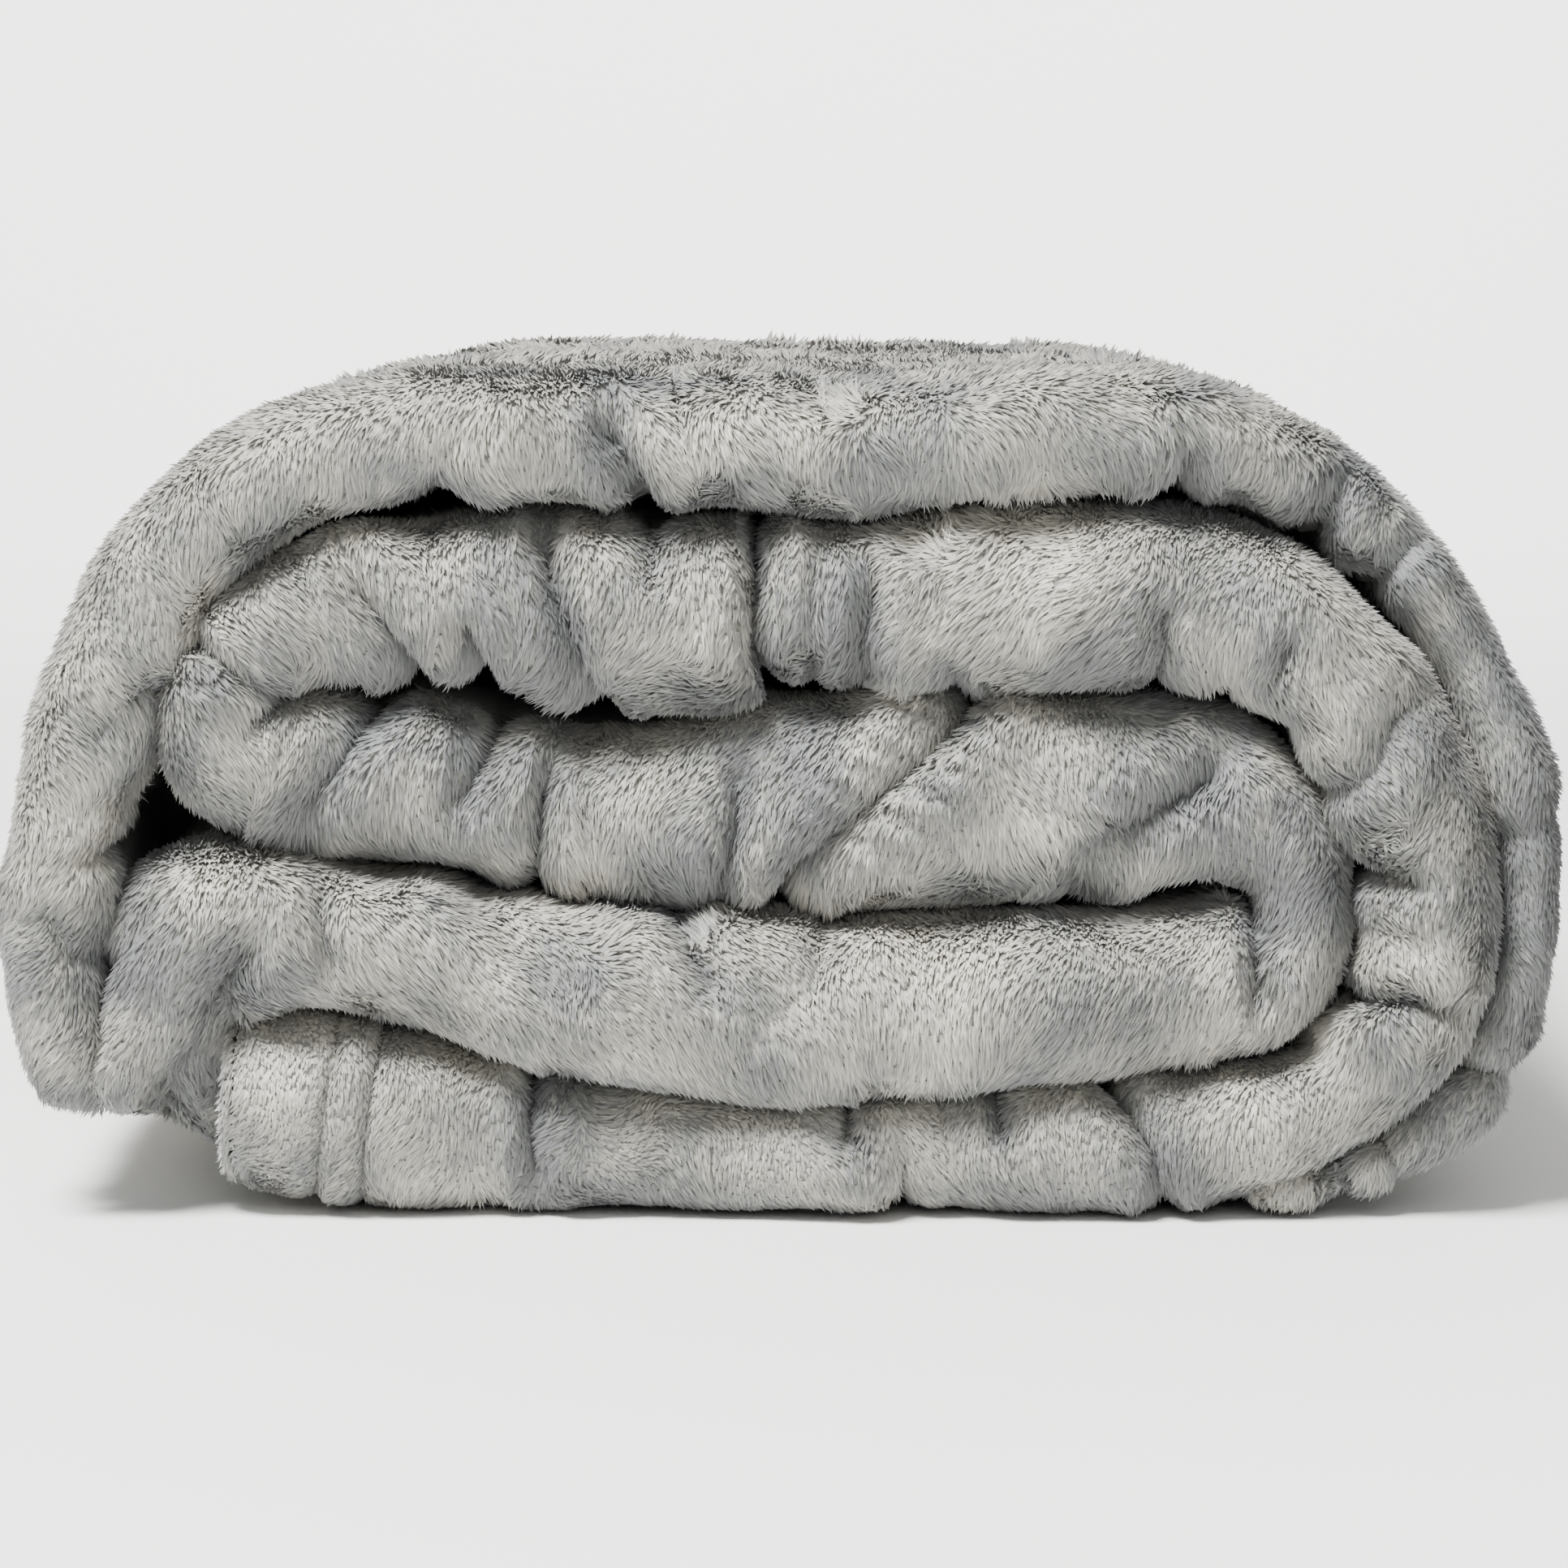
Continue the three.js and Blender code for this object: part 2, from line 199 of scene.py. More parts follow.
# The strip round the spiral.
# Seen from the front, in millimetres: x, height and thickness of the four plies, and how far
# the front of the strip is pushed back there. The runs follow each other from the inner end of
# the throw, on the ground at the left, to its outer end, under the right corner. Stations are
# step apart, and hemStep apart in the hemZone at both ends.
roll = {
    "cutWidth": 1270, "cutLength": 1524, "depth": 317.5, "perSpan": 14, "step": 2.9,
    "hemStep": 1.1, "hemZone": 32,
    "runs": {
        "bottom": [(-105, 22.5, 36, 5), (-96, 22, 38, 5), (-88, 20.5, 39.5, 4),
                   (-72, 18.5, 38, 4), (-53, 15.5, 32, 5), (-32, 13.5, 27, 6), (-7, 12, 23, 6),
                   (18, 12.5, 24, 6), (42, 13, 26, 6), (67, 14.5, 28, 4), (88, 17, 28, 2)],
        "innerRight": [(107, 24, 24, 0), (119, 38, 25.5, -1), (124, 56, 27.5, -2),
                       (122, 73.5, 28.5, -2), (115, 90, 31, -2), (105.5, 104.5, 32, -1)],
        "innerTop": [(93, 116, 32, -1), (78, 119, 35, 0), (60, 120, 35, 0),
                     (40, 119.5, 35.5, 0), (20, 119, 31, 0), (-1, 120, 32, 1),
                     (-17, 116, 41, 0), (-35, 117.5, 41, 0), (-50, 120, 36.5, 1),
                     (-66, 120, 31.5, 1), (-85, 118, 30, 2), (-98, 114.5, 25, 3)],
        "coreLeft": [(-106, 107, 21, 3), (-108.5, 98, 21, 3), (-105, 89.5, 24, 2)],
        "core": [(-96, 86, 28, 3), (-79, 85, 34, 4), (-60, 82, 31, 5), (-45, 77.5, 33, 5),
                 (-25, 77.5, 35, 5), (-8, 80, 41, 5), (12, 79.5, 43, 4), (33, 81, 43, 3),
                 (52, 81, 41, 3), (67, 82, 40, 4), (81, 79.5, 38.5, 5)],
        "coreRight": [(91.5, 76, 28, 5), (98, 69, 23, 4), (99.5, 60, 20, 4), (97.5, 51, 23, 3)],
        "lower": [(89.5, 46.5, 32, 1), (77, 45, 33, 0), (57, 43, 33, -1), (36, 42, 34, -2),
                  (13, 40.5, 35, -3), (-7, 41, 36.5, -3), (-27, 42.7, 35, -3),
                  (-44, 44.5, 33, -3), (-60, 49.5, 34, -2), (-75, 52, 30, -2),
                  (-91, 54.5, 29.5, -1), (-103, 55, 36, 0)],
        "outerLeft": [(-112.5, 52.5, 39, 1), (-121, 42, 30, 2), (-126.5, 33, 17, 3),
                      (-130.5, 28, 10, 3), (-135, 30, 10, 3), (-139, 39, 13.5, 2),
                      (-140, 50, 17.5, 1), (-139, 64, 21.5, 0)],
        "left": [(-137, 80, 20, 0), (-132, 94, 22, 0), (-126.5, 108, 23, 0),
                 (-120, 121.5, 23, 0), (-111, 133.5, 23, 0), (-97, 143.5, 24, -1)],
        "outerTop": [(-78, 149, 23.5, -2), (-56, 150.5, 25, -3), (-32, 149.5, 28.5, -3),
                     (-7, 149.3, 27, -2), (13, 149, 25.5, -2), (36, 150.5, 24, -2),
                     (58, 151.5, 22, -1), (75, 151, 21, 2)],
        "outerRight": [(92, 145.5, 21, 5), (106, 138, 20.5, 7), (118.5, 126, 19, 8),
                       (128.5, 112, 17.5, 9), (136, 97, 16, 9), (141, 81.5, 15, 9),
                       (143, 66, 13.5, 9), (142.5, 51.5, 13.5, 9), (139, 36, 14.5, 9),
                       (131.5, 22.5, 15, 9), (118.5, 12.5, 12.5, 9), (104, 7, 9, 9),
                       (93, 5, 7, 9)],
    },
}


def splineThrough(points):
    # a rounded path through the points, with spans timed by their length
    points = np.array(points, float)
    points = np.vstack([2 * points[0] - points[1], points, 2 * points[-1] - points[-2]])
    gaps = np.linalg.norm(np.diff(points[:, :2], axis=0), axis=1) ** 0.5
    times = np.concatenate([[0], np.cumsum(gaps)])
    path = []
    for i in range(1, len(points) - 2):
        t0, t1, t2, t3 = times[i - 1:i + 3]
        p0, p1, p2, p3 = points[i - 1:i + 3]
        for t in np.linspace(t1, t2, roll["perSpan"], endpoint=False):
            a1 = (t1 - t) / (t1 - t0) * p0 + (t - t0) / (t1 - t0) * p1
            a2 = (t2 - t) / (t2 - t1) * p1 + (t - t1) / (t2 - t1) * p2
            a3 = (t3 - t) / (t3 - t2) * p2 + (t - t2) / (t3 - t2) * p3
            b1 = (t2 - t) / (t2 - t0) * a1 + (t - t0) / (t2 - t0) * a2
            b2 = (t3 - t) / (t3 - t1) * a2 + (t - t1) / (t3 - t1) * a3
            path.append((t2 - t) / (t2 - t1) * b1 + (t - t1) / (t2 - t1) * b2)
    path.append(points[-2])
    return np.array(path)


def stripPath():
    # stations along the strip, closer together at the hems, and where each run starts and ends
    stations = [station for run in roll["runs"].values() for station in run]
    path = splineThrough(stations)
    gaps = np.linalg.norm(np.diff(path[:, :2], axis=0), axis=1)
    lengths = np.concatenate([[0], np.cumsum(gaps)])
    fine = roll["hemZone"]
    body = np.linspace(fine, lengths[-1] - fine, round((lengths[-1] - 2 * fine) / roll["step"]))
    ends = np.arange(0, fine, roll["hemStep"])
    placed = np.concatenate([ends, body, lengths[-1] - ends[::-1]])
    path = np.column_stack([np.interp(placed, lengths, path[:, k]) for k in range(4)])
    tangent = np.gradient(path[:, :2], axis=0)
    tangent /= np.linalg.norm(tangent, axis=1)[:, None]
    up = np.column_stack([-tangent[:, 1], tangent[:, 0]])
    limits = {}
    counted = 0
    for name, run in roll["runs"].items():
        first, last = counted * roll["perSpan"], (counted + len(run)) * roll["perSpan"]
        limits[name] = (lengths[first], lengths[min(last, len(lengths) - 1)])
        counted += len(run)
    print("strip length", round(lengths[-1]), "mm")
    return path, up, placed, limits


path, up, along, runLimits = stripPath()

# The section of the four plies.
# Each place across the cloth is given as (level, y): level is the height in the stack, 1 at the
# outer face and -1 at the inner one, and y is in mm. The cloth goes from one hemmed edge over the
# top ply, round the outer front fold, back below, round the back fold, forward, round the inner
# front fold, and back to its other edge. Gaps are what the even stretches leave at the back and
# at the front.
plies = {"thickness": 4.4, "pileRoom": 1.3, "frontRound": 16.5, "squareness": 2.2,
         "innerSet": 16.0, "innerLevel": 0.34, "innerRound": 10, "innerEdgeSet": 4.0,
         "backSet": 10, "backBulge": 6.0, "levelHeight": 12, "leastHalf": 1.2,
         "fullThickness": 30, "thinFold": (0.45, 1.1), "thinReach": 60,
         "topGaps": (44, 16), "underGaps": (16, 26), "innerGaps": (20, 8),
         "hemPlaces": [1, 4, 8, 12, 15, 17, 19, 22, 24, 26, 30], "mouthPlaces": [24, 17, 11, 6, 2.5],
         "places": {"top": 13, "front": 19, "under": 7, "back": 8, "innerFold": 5, "inner": 8}}


def roundTurn(start, end, count):
    # cosine and sine at even steps of the angle
    angles = [math.radians(angle) for angle in np.linspace(start, end, count)]
    return [(math.cos(angle), math.sin(angle)) for angle in angles]


def acrossCloth():
    half = roll["depth"] / 2
    frontFlat = -half + plies["frontRound"]
    innerFlat = frontFlat + plies["innerSet"]
    inner = plies["innerLevel"]
    power = 2 / plies["squareness"]
    places = plies["places"]
    topBack, topFront = plies["topGaps"]
    underBack, underFront = plies["underGaps"]
    innerBack, innerFront = plies["innerGaps"]
    hemmed = half - np.array(plies["hemPlaces"])
    mouth = frontFlat + np.array(plies["mouthPlaces"])
    topPly = [(1.0, y) for y in hemmed]
    topPly += [(1.0, y) for y in np.linspace(half - topBack, mouth[0] + topFront, places["top"])]
    topPly += [(1.0, y) for y in mouth]
    frontFold = []
    for c, s in roundTurn(90, -90, places["front"]):
        level = math.copysign(abs(s) ** power, s)
        frontFold.append((level, frontFlat - plies["frontRound"] * max(c, 0) ** power))
    underPly = [(-1.0, y) for y in mouth[::-1]]
    underPly += [(-1.0, y) for y in np.linspace(
        mouth[0] + underFront, half - underBack, places["under"])]
    middle, reach = (-1 - inner) / 2, (1 - inner) / 2
    backFold = [(middle + reach * s, half - plies["backSet"] + plies["backBulge"] * c)
                for c, s in roundTurn(-80, 80, places["back"])]
    innerPlies = [(-inner, y) for y in np.linspace(
        half - innerBack, innerFlat + innerFront, places["under"])]
    innerPlies += [(inner * s, innerFlat - plies["innerRound"] * c)
                   for c, s in roundTurn(-80, 80, places["innerFold"])]
    innerPlies += [(inner, y) for y in np.linspace(
        innerFlat + innerFront, half - plies["innerEdgeSet"], places["inner"])]
    parts = [topPly, frontFold, underPly, backFold, innerPlies]
    starts = np.cumsum([0] + [len(part) for part in parts]).tolist()
    return np.array(sum(parts, [])), list(zip(starts[:-1], starts[1:]))


# the columns of each part of the section, from the outermost ply inwards
section, (topPly, frontFold, underPly, backFold, _) = acrossCloth()


def stationAt(length):
    return int(np.argmin(np.abs(along - length)))


# Creases pressed into the front folds: the run, the line they follow seen from the front, in mm,
# and how deep and how wide they are. One with a negative depth is a bulge.
creaseForm = {"face": -105, "faceFade": 25, "pastRun": 12, "runFade": 8, "shoulder": 0.28,
              "shoulderAt": 2.1, "shadeWidth": 1.7, "shadeDepth": 5}
creases = [
    ("innerTop", [(-46, 131), (-44, 124), (-41, 116), (-39, 108), (-34, 100)], 5.5, 2.6),
    ("innerTop", [(-5, 131), (-5, 122), (-5, 110), (-3, 104)], 10.0, 2.8),
    ("innerTop", [(17, 121), (16, 112), (17, 101)], 8.0, 2.7),
    ("innerTop", [(-81, 122), (-75, 115), (-70, 109), (-65, 104)], 7.5, 3.0),
    ("innerTop", [(-61, 115), (-57, 107), (-54, 99)], 6.5, 2.8),
    ("innerTop", [(72, 118), (72, 110), (70, 102)], 3.6, 2.8),
    ("innerTop", [(33, 108), (33, 101)], 5.0, 3.0),
    ("innerTop", [(96, 112), (96, 98)], 5.0, 2.8),
    ("innerTop", [(-25, 134), (-24, 127)], 3.5, 4.0),
    ("innerTop", [(-111, 112), (-105, 106), (-97, 103)], 6.0, 2.6),
    ("innerRight", [(115, 99), (111, 88)], 3.2, 3.4),
    ("innerRight", [(106, 70), (113, 68), (119, 67)], 6.5, 2.8),
    ("innerRight", [(109, 42), (118, 44), (127, 43)], 4.2, 2.8),
    ("innerRight", [(95, 96), (99, 88), (104, 84)], 4.0, 3.0),
    ("core", [(38, 100), (30, 92), (20, 84), (10, 75), (1, 67), (-4, 59)], 9.0, 3.2),
    ("core", [(-8, 86), (-9, 76), (-12, 64)], 4.6, 2.5),
    ("core", [(-46, 84), (-47, 72), (-49, 62)], 5.0, 2.6),
    ("core", [(-52, 98), (-57, 89), (-62, 82)], 4.4, 3.4),
    ("core", [(-77, 99), (-83, 91), (-91, 81)], 5.0, 3.4),
    ("core", [(-98, 100), (-104, 95), (-111, 91)], 5.5, 2.5),
    ("core", [(82, 86), (71, 80), (62, 74), (57, 69)], 6.0, 3.6),
    ("core", [(82, 64), (73, 63), (66, 60)], 5.0, 3.0),
    ("lower", [(-22, 60), (-19, 53), (-15, 47)], 4.0, 3.0),
    ("lower", [(-102, 55), (-108, 44), (-113, 34)], 5.0, 3.6),
    ("lower", [(-60, 64), (-52, 54), (-40, 48)], 2.6, 4.5),
    ("lower", [(91, 56), (91, 44)], 5.5, 2.5),
    ("lower", [(-89, 60), (-87, 52)], 2.6, 3.0),
    ("lower", [(-2, 40), (6, 46), (8, 54)], 2.0, 4.0),
    ("bottom", [(-49, 30), (-48, 18), (-47, 9)], 5.0, 2.6),
    ("bottom", [(12, 26), (12, 16)], 4.0, 2.7),
    ("bottom", [(41, 27), (42, 17)], 4.0, 2.7),
    ("bottom", [(22, 12), (22, 3)], 3.5, 3.0),
    ("bottom", [(58, 28), (66, 20), (71, 12), (73, 4)], 7.5, 2.8),
    ("outerTop", [(-33, 152), (-28, 144), (-25, 131)], 6.0, 3.0),
    ("outerTop", [(72, 134), (74, 142), (77, 148)], 6.0, 3.0),
    ("outerTop", [(-66, 142), (-61, 151)], 3.0, 4.5),
    ("outerTop", [(10, 131), (10, 138)], -1.6, 9.0),
    ("outerRight", [(100, 128), (103, 137), (105, 141)], 4.0, 3.0),
    ("outerRight", [(110, 121), (118, 129)], 2.6, 2.8),
    ("outerRight", [(128, 30), (136, 28), (146, 31)], 2.6, 2.8),
    ("outerRight", [(103, 10), (109, 3)], 2.2, 2.8),
    ("outerRight", [(137, 74), (144, 78)], 1.5, 3.2),
    ("left", [(-141, 63), (-136, 66), (-130, 72)], 6.0, 2.8),
    ("left", [(-130, 96), (-122, 104)], 3.0, 3.6),
    ("outerLeft", [(-137, 53), (-140, 60)], 3.0, 3.2),
    ("outerLeft", [(-128, 50), (-131, 40), (-133, 27)], 4.5, 2.6),
    ("lower", [(-119, 60), (-124, 52), (-128, 44)], 3.0, 2.8),
]


def distanceToLine(x, z, line):
    best = np.full(x.shape, 1e9)
    for (x1, z1), (x2, z2) in zip(line[:-1], line[1:]):
        dx, dz = x2 - x1, z2 - z1
        t = np.clip(((x - x1) * dx + (z - z1) * dz) / (dx * dx + dz * dz), 0, 1)
        best = np.minimum(best, np.hypot(x - x1 - t * dx, z - z1 - t * dz))
    return best


def surfaceNormals(grid):
    du = np.gradient(grid, axis=0)
    dv = np.gradient(grid, axis=1)
    normal = np.cross(dv, du)
    normal /= np.maximum(np.linalg.norm(normal, axis=2), 1e-9)[:, :, None]
    return normal


def clothGrid():
    # the middle of the cloth as stations by places across, in mm
    half = path[:, 2] / 2 - plies["thickness"] / 2 - plies["pileRoom"]
    half = np.maximum(half, plies["leastHalf"])
    level = section[:, 0][None, :] * half[:, None]
    y = np.repeat(section[:, 1][None, :], len(path), axis=0)
    # thin stretches have shallower folds, moved forward so that their fronts stay level with the
    # others, and then each station is pushed back by its own amount
    thin = np.clip(path[:, 2] / plies["fullThickness"], *plies["thinFold"])[:, None]
    frontFlat = -roll["depth"] / 2 + plies["frontRound"]
    beyond = np.minimum(y - frontFlat, 0)
    y = y - beyond + beyond * thin
    reach = plies["thinReach"]
    y = y - plies["frontRound"] * (1 - thin) * smoothStep((reach - (y - frontFlat)) / reach)
    y = y + path[:, 3][:, None] * smoothStep((roll["depth"] / 2 - y) / roll["depth"])
    x = path[:, 0][:, None] + up[:, 0][:, None] * level
    z = path[:, 1][:, None] + up[:, 1][:, None] * level
    return np.stack([x, y, z], axis=2)


def pressCreases(grid):
    # it also gives how far each place is in a crease's shade, from 0 to 1, which becomes painted
    # shade in the pile's colour
    form = creaseForm
    normal = surfaceNormals(grid)
    moved = np.zeros(grid.shape[:2])
    dusk = np.zeros(grid.shape[:2])
    front = smoothStep((form["face"] - grid[:, :, 1]) / form["faceFade"])
    for run, line, depth, width in creases:
        start, end = runLimits[run]
        inside = smoothStep((along - start + form["pastRun"]) / form["runFade"])
        inside *= smoothStep((end + form["pastRun"] - along) / form["runFade"])
        distance = distanceToLine(grid[:, :, 0], grid[:, :, 2], line)
        valley = depth * np.exp(-(distance / width) ** 2)
        fromShoulder = distance - form["shoulderAt"] * width
        shoulders = form["shoulder"] * depth * np.exp(-(fromShoulder / width) ** 2)
        moved += (shoulders - valley) * front * inside[:, None]
        # painted shade: the pile close to a crease is given darker colours
        nearby = np.exp(-(distance / (form["shadeWidth"] * width)) ** 2)
        nearby = nearby * min(1, abs(depth) / form["shadeDepth"])
        dusk = np.maximum(dusk, nearby * front * inside[:, None])
    return grid + normal * moved[:, :, None], dusk


# Loose cloth is never flat: the height, size and seed of its broad and fine swells, in mm, and of
# the way the front folds wander forwards and back.
lumps = {"swells": [(0.7, 38, 11), (0.3, 14, 12), (0.15, 6, 13)], "wander": (1.2, 22, 14),
         "wanderStretch": (1, 0.15, 1), "wanderFrom": -60, "wanderFade": 80,
         "ground": 2.6, "groundSwell": (0.25, 9, 15)}


def addLumps(grid):
    flat = grid.reshape(-1, 3)
    normal = surfaceNormals(grid)
    swell = sum(height * softNoise(flat, size, seed) for height, size, seed in lumps["swells"])
    height, size, seed = lumps["wander"]
    wander = height * softNoise(flat * np.array(lumps["wanderStretch"]), size, seed)
    grid = grid + normal * swell.reshape(grid.shape[:2])[:, :, None]
    front = smoothStep((lumps["wanderFrom"] - grid[:, :, 1]) / lumps["wanderFade"])
    grid[:, :, 1] += wander.reshape(grid.shape[:2]) * front
    return grid


def restOnGround(grid):
    height, size, seed = lumps["groundSwell"]
    lowest = height * softNoise(grid.reshape(-1, 3), size, seed).reshape(grid.shape[:2])
    grid[:, :, 2] = np.maximum(grid[:, :, 2], lumps["ground"] + lowest)
    return grid


# Hems: their width, the two rows of stitches, the grooves that these pull in, how much the
# doubled cloth stands up and how far its round edge stands out, in mm.
hem = {"width": 25.4, "rows": (17.0, 25.0), "groove": 3.4, "grooveWidth": 1.7, "plump": 1.2,
       "plumpFade": 4, "fullThickness": 25, "leastGroove": 0.25, "edgeOut": 0.15,
       "edgePlaces": 5}


def hemDistance():
    # how far each place on the cloth is from the nearest end and from the nearest side, in mm
    gaps = np.hypot(np.diff(section[:, 0]) * plies["levelHeight"], np.diff(section[:, 1]))
    sideways = np.cumsum(np.concatenate([[0], gaps]))
    fromEnd = np.minimum(along, along[-1] - along)[:, None]
    fromSide = np.minimum(sideways, sideways[-1] - sideways)[None, :]
    return fromEnd + 0 * fromSide, fromSide + 0 * fromEnd


def pressHems(grid):
    fromEnd, fromSide = hemDistance()
    normal = surfaceNormals(grid)
    moved = np.zeros(grid.shape[:2])
    # thin stretches have shallower grooves
    groove = np.clip(path[:, 2] / hem["fullThickness"], hem["leastGroove"], 1)[:, None]
    groove = groove * hem["groove"]
    fade = hem["plumpFade"]
    for distance in (fromEnd, fromSide):
        plump = smoothStep(distance / fade) * smoothStep((hem["width"] + 2 - distance) / fade)
        moved += hem["plump"] * plump
        for row in hem["rows"]:
            moved -= groove * np.exp(-((distance - row) / hem["grooveWidth"]) ** 2)
    outward = np.where(np.arange(grid.shape[1]) < backFold[1], 1.0, 0.0)[None, :]
    return grid + normal * (moved * outward)[:, :, None]


# The sagging lower left turn, in mm. Its bed is a slope that falls to the right, from the height
# bedTop at bedLeft, and the line under its lip falls to the right from lipHeight at lipLeft.
leftTurn = {"top": 66, "topFade": 34, "right": -103, "rightFade": 6, "back": 15, "backFade": 12,
            "drop": 32, "shift": 2, "bedTop": 25, "bedLow": 5, "bedLeft": -134, "bedFall": 0.57,
            "lipHeight": 26, "lipLeft": -119, "lipFall": 0.5, "lipEnd": -127, "lipFade": 5,
            "setBack": 8, "pastRun": 10, "startFade": 15, "endFade": 30}


def settleLeft(grid):
    # behind the front the lower left turn sags and fills the space beside the inner end
    turn = leftTurn
    start, end = runLimits["outerLeft"]
    near = smoothStep((along - start + turn["pastRun"]) / turn["startFade"])
    near = (near * smoothStep((end + turn["pastRun"] - along) / turn["endFade"]))[:, None]
    behind = smoothStep((grid[:, :, 1] + roll["depth"] / 2 - turn["back"]) / turn["backFade"])
    low = smoothStep((turn["top"] - grid[:, :, 2]) / turn["topFade"])
    left = smoothStep((turn["right"] - grid[:, :, 0]) / turn["rightFade"])
    sag = near * behind * low * left
    bed = turn["bedTop"] - turn["bedFall"] * (grid[:, :, 0] - turn["bedLeft"])
    bed = np.clip(bed, turn["bedLow"], turn["bedTop"])
    grid[:, :, 2] -= np.minimum(turn["drop"] * sag, np.maximum(grid[:, :, 2] - bed, 0))
    grid[:, :, 0] += turn["shift"] * sag
    # and the part under its lip stands back from the front
    lip = turn["lipHeight"] - turn["lipFall"] * (grid[:, :, 0] - turn["lipLeft"])
    below = smoothStep((lip - grid[:, :, 2]) / turn["lipFade"])
    right = smoothStep((grid[:, :, 0] - turn["lipEnd"]) / turn["lipFade"])
    grid[:, :, 1] += turn["setBack"] * near * below * right
    return grid


# Shade of the pile, painted into its colour: painted shade under folds and painted light on top of
# them, painted shade in the grooves of the stitch rows, and tone that wanders in swirls. At places
# on the front it is darker or lighter: partly tone where it is brushed up or down, partly painted
# shade and light for where the cloth is set back, hollow or stands forward: the place seen from the
# front and how wide it is, in mm, and how much darker it looks.
napAndPaintedShadeLook = {"face": -100, "faceFade": 25, "below": 0.55, "belowPower": 1.2, "above": 0.08,
           "swirl": (0.22, 26, 51), "swirlStretch": (1, 0.5, 1), "row": 0.9, "rowWidth": 1.6,
           "limits": (-1, 1.5)}
brushedAndShadedPlaces = [
    (147, 84, 14, 1.0), (147, 60, 12, 0.9), (136, 112, 13, 1.0), (123, 129, 10, 0.8),
    (144, 40, 12, 0.7), (108, 140, 10, 0.5), (137, 97, 11, 0.7),
    (-113, 22, 9, 0.9), (-111, 30, 7, 0.8), (-97, 20, 9, -0.5), (-78, 111, 9, 0.6),
    (98, 82, 7, 0.7), (92, 102, 7, 0.6), (112, 63, 6, 0.7), (97, 54, 8, 0.6),
    (-84, 71, 12, -0.5), (-30, 49, 14, -0.5), (40, 46, 28, -0.4), (-100, 60, 12, -0.3),
    (100, 72, 9, 0.6), (88, 96, 9, 0.5), (105, 60, 7, 0.5), (84, 86, 16, 0.4),
    (-55, 142, 12, 0.4), (66, 142, 14, 0.4), (0, 112, 12, 0.4), (-84, 112, 8, 0.4),
]


def paintNapAndShade(grid, shade):
    # the creases' painted shade with the folds' painted shade and light, the swirls, the brushed and
    # shaded places and the stitch rows' painted shade
    look = napAndPaintedShadeLook
    down = -surfaceNormals(grid)[:, :, 2]
    front = smoothStep((look["face"] - grid[:, :, 1]) / look["faceFade"])
    # painted shade on the undersides of the folds, and painted light on their tops
    turned = look["below"] * np.maximum(down, 0) ** look["belowPower"]
    turned = turned - look["above"] * np.maximum(-down, 0)
    amount, size, seed = look["swirl"]
    flat = grid.reshape(-1, 3) * np.array(look["swirlStretch"])
    swirl = amount * softNoise(flat, size, seed).reshape(shade.shape)
    total = shade + swirl + turned * front
    # partly the nap's tone, partly painted shade or light where the cloth is set back, hollow or
    # stands forward
    for x, z, width, amount in brushedAndShadedPlaces:
        near = np.exp(-((grid[:, :, 0] - x) ** 2 + (grid[:, :, 2] - z) ** 2) / width ** 2)
        total += amount * near * front
    # painted shade in the grooves that the stitch rows pull in
    fromEnd = hemDistance()[0]
    for row in hem["rows"]:
        total += look["row"] * np.exp(-((fromEnd - row) / look["rowWidth"]) ** 2)
    return np.clip(total, *look["limits"])


cloth = clothGrid()
cloth = settleLeft(cloth)
cloth, dusk = pressCreases(cloth)
cloth = addLumps(cloth)
cloth = pressHems(cloth)
dusk = paintNapAndShade(cloth, dusk)
cloth = restOnGround(cloth)
clothNormal = surfaceNormals(cloth)
print("cloth shaped", cloth.shape)


def faceIndex(shape, start=0):
    # quads of a grid of points, in the order that makes them face outwards on the cloth
    index = np.arange(shape[0] * shape[1]).reshape(shape[:2]) + start
    return np.column_stack([index[:-1, :-1].ravel(), index[:-1, 1:].ravel(),
                            index[1:, 1:].ravel(), index[1:, :-1].ravel()])


def turnedOver(faces):
    return faces[:, [0, 3, 2, 1]]


def clothPiece(name, first, last):
    # the cloth between two stations, as a closed sheet of its real thickness
    part = cloth[first:last + 1]
    offset = clothNormal[first:last + 1] * plies["thickness"] / 2
    rows, columns = part.shape[:2]
    outer = (part + offset).reshape(-1, 3)
    inner = (part - offset).reshape(-1, 3)
    count = rows * columns
    index = np.arange(count).reshape(rows, columns)
    faces = [faceIndex(part.shape), turnedOver(faceIndex(part.shape, count))]
    rims = ((index[0], True), (index[-1], False), (index[:, 0], False), (index[:, -1], True))
    for line, flip in rims:
        p, q = line[:-1], line[1:]
        rim = np.column_stack([p, q, q + count, p + count])
        faces.append(rim[:, ::-1] if flip else rim)
    faces = np.vstack(faces)
    vertices = np.vstack([outer, inner]) * mm
    mesh = bpy.data.meshes.new(name)
    mesh.from_pydata(vertices.tolist(), [], faces.tolist())
    mesh.update()
    u = np.repeat(along[first:last + 1] / along[-1], columns)
    v = np.tile(across / across[-1], rows)
    share = clothMap["share"]
    uv = np.vstack([np.column_stack([u, v * share]),
                    np.column_stack([u, 1 - share + v * share])])
    layer = mesh.uv_layers.new(name="OFBake")
    corners = np.zeros(len(mesh.loops), dtype=np.int32)
    mesh.loops.foreach_get("vertex_index", corners)
    layer.data.foreach_set("uv", uv[corners].ravel().astype(np.float32))
    mesh.polygons.foreach_set("use_smooth", np.ones(len(mesh.polygons), dtype=bool))
    mesh.materials.append(ground)
    return newObject(name, mesh)


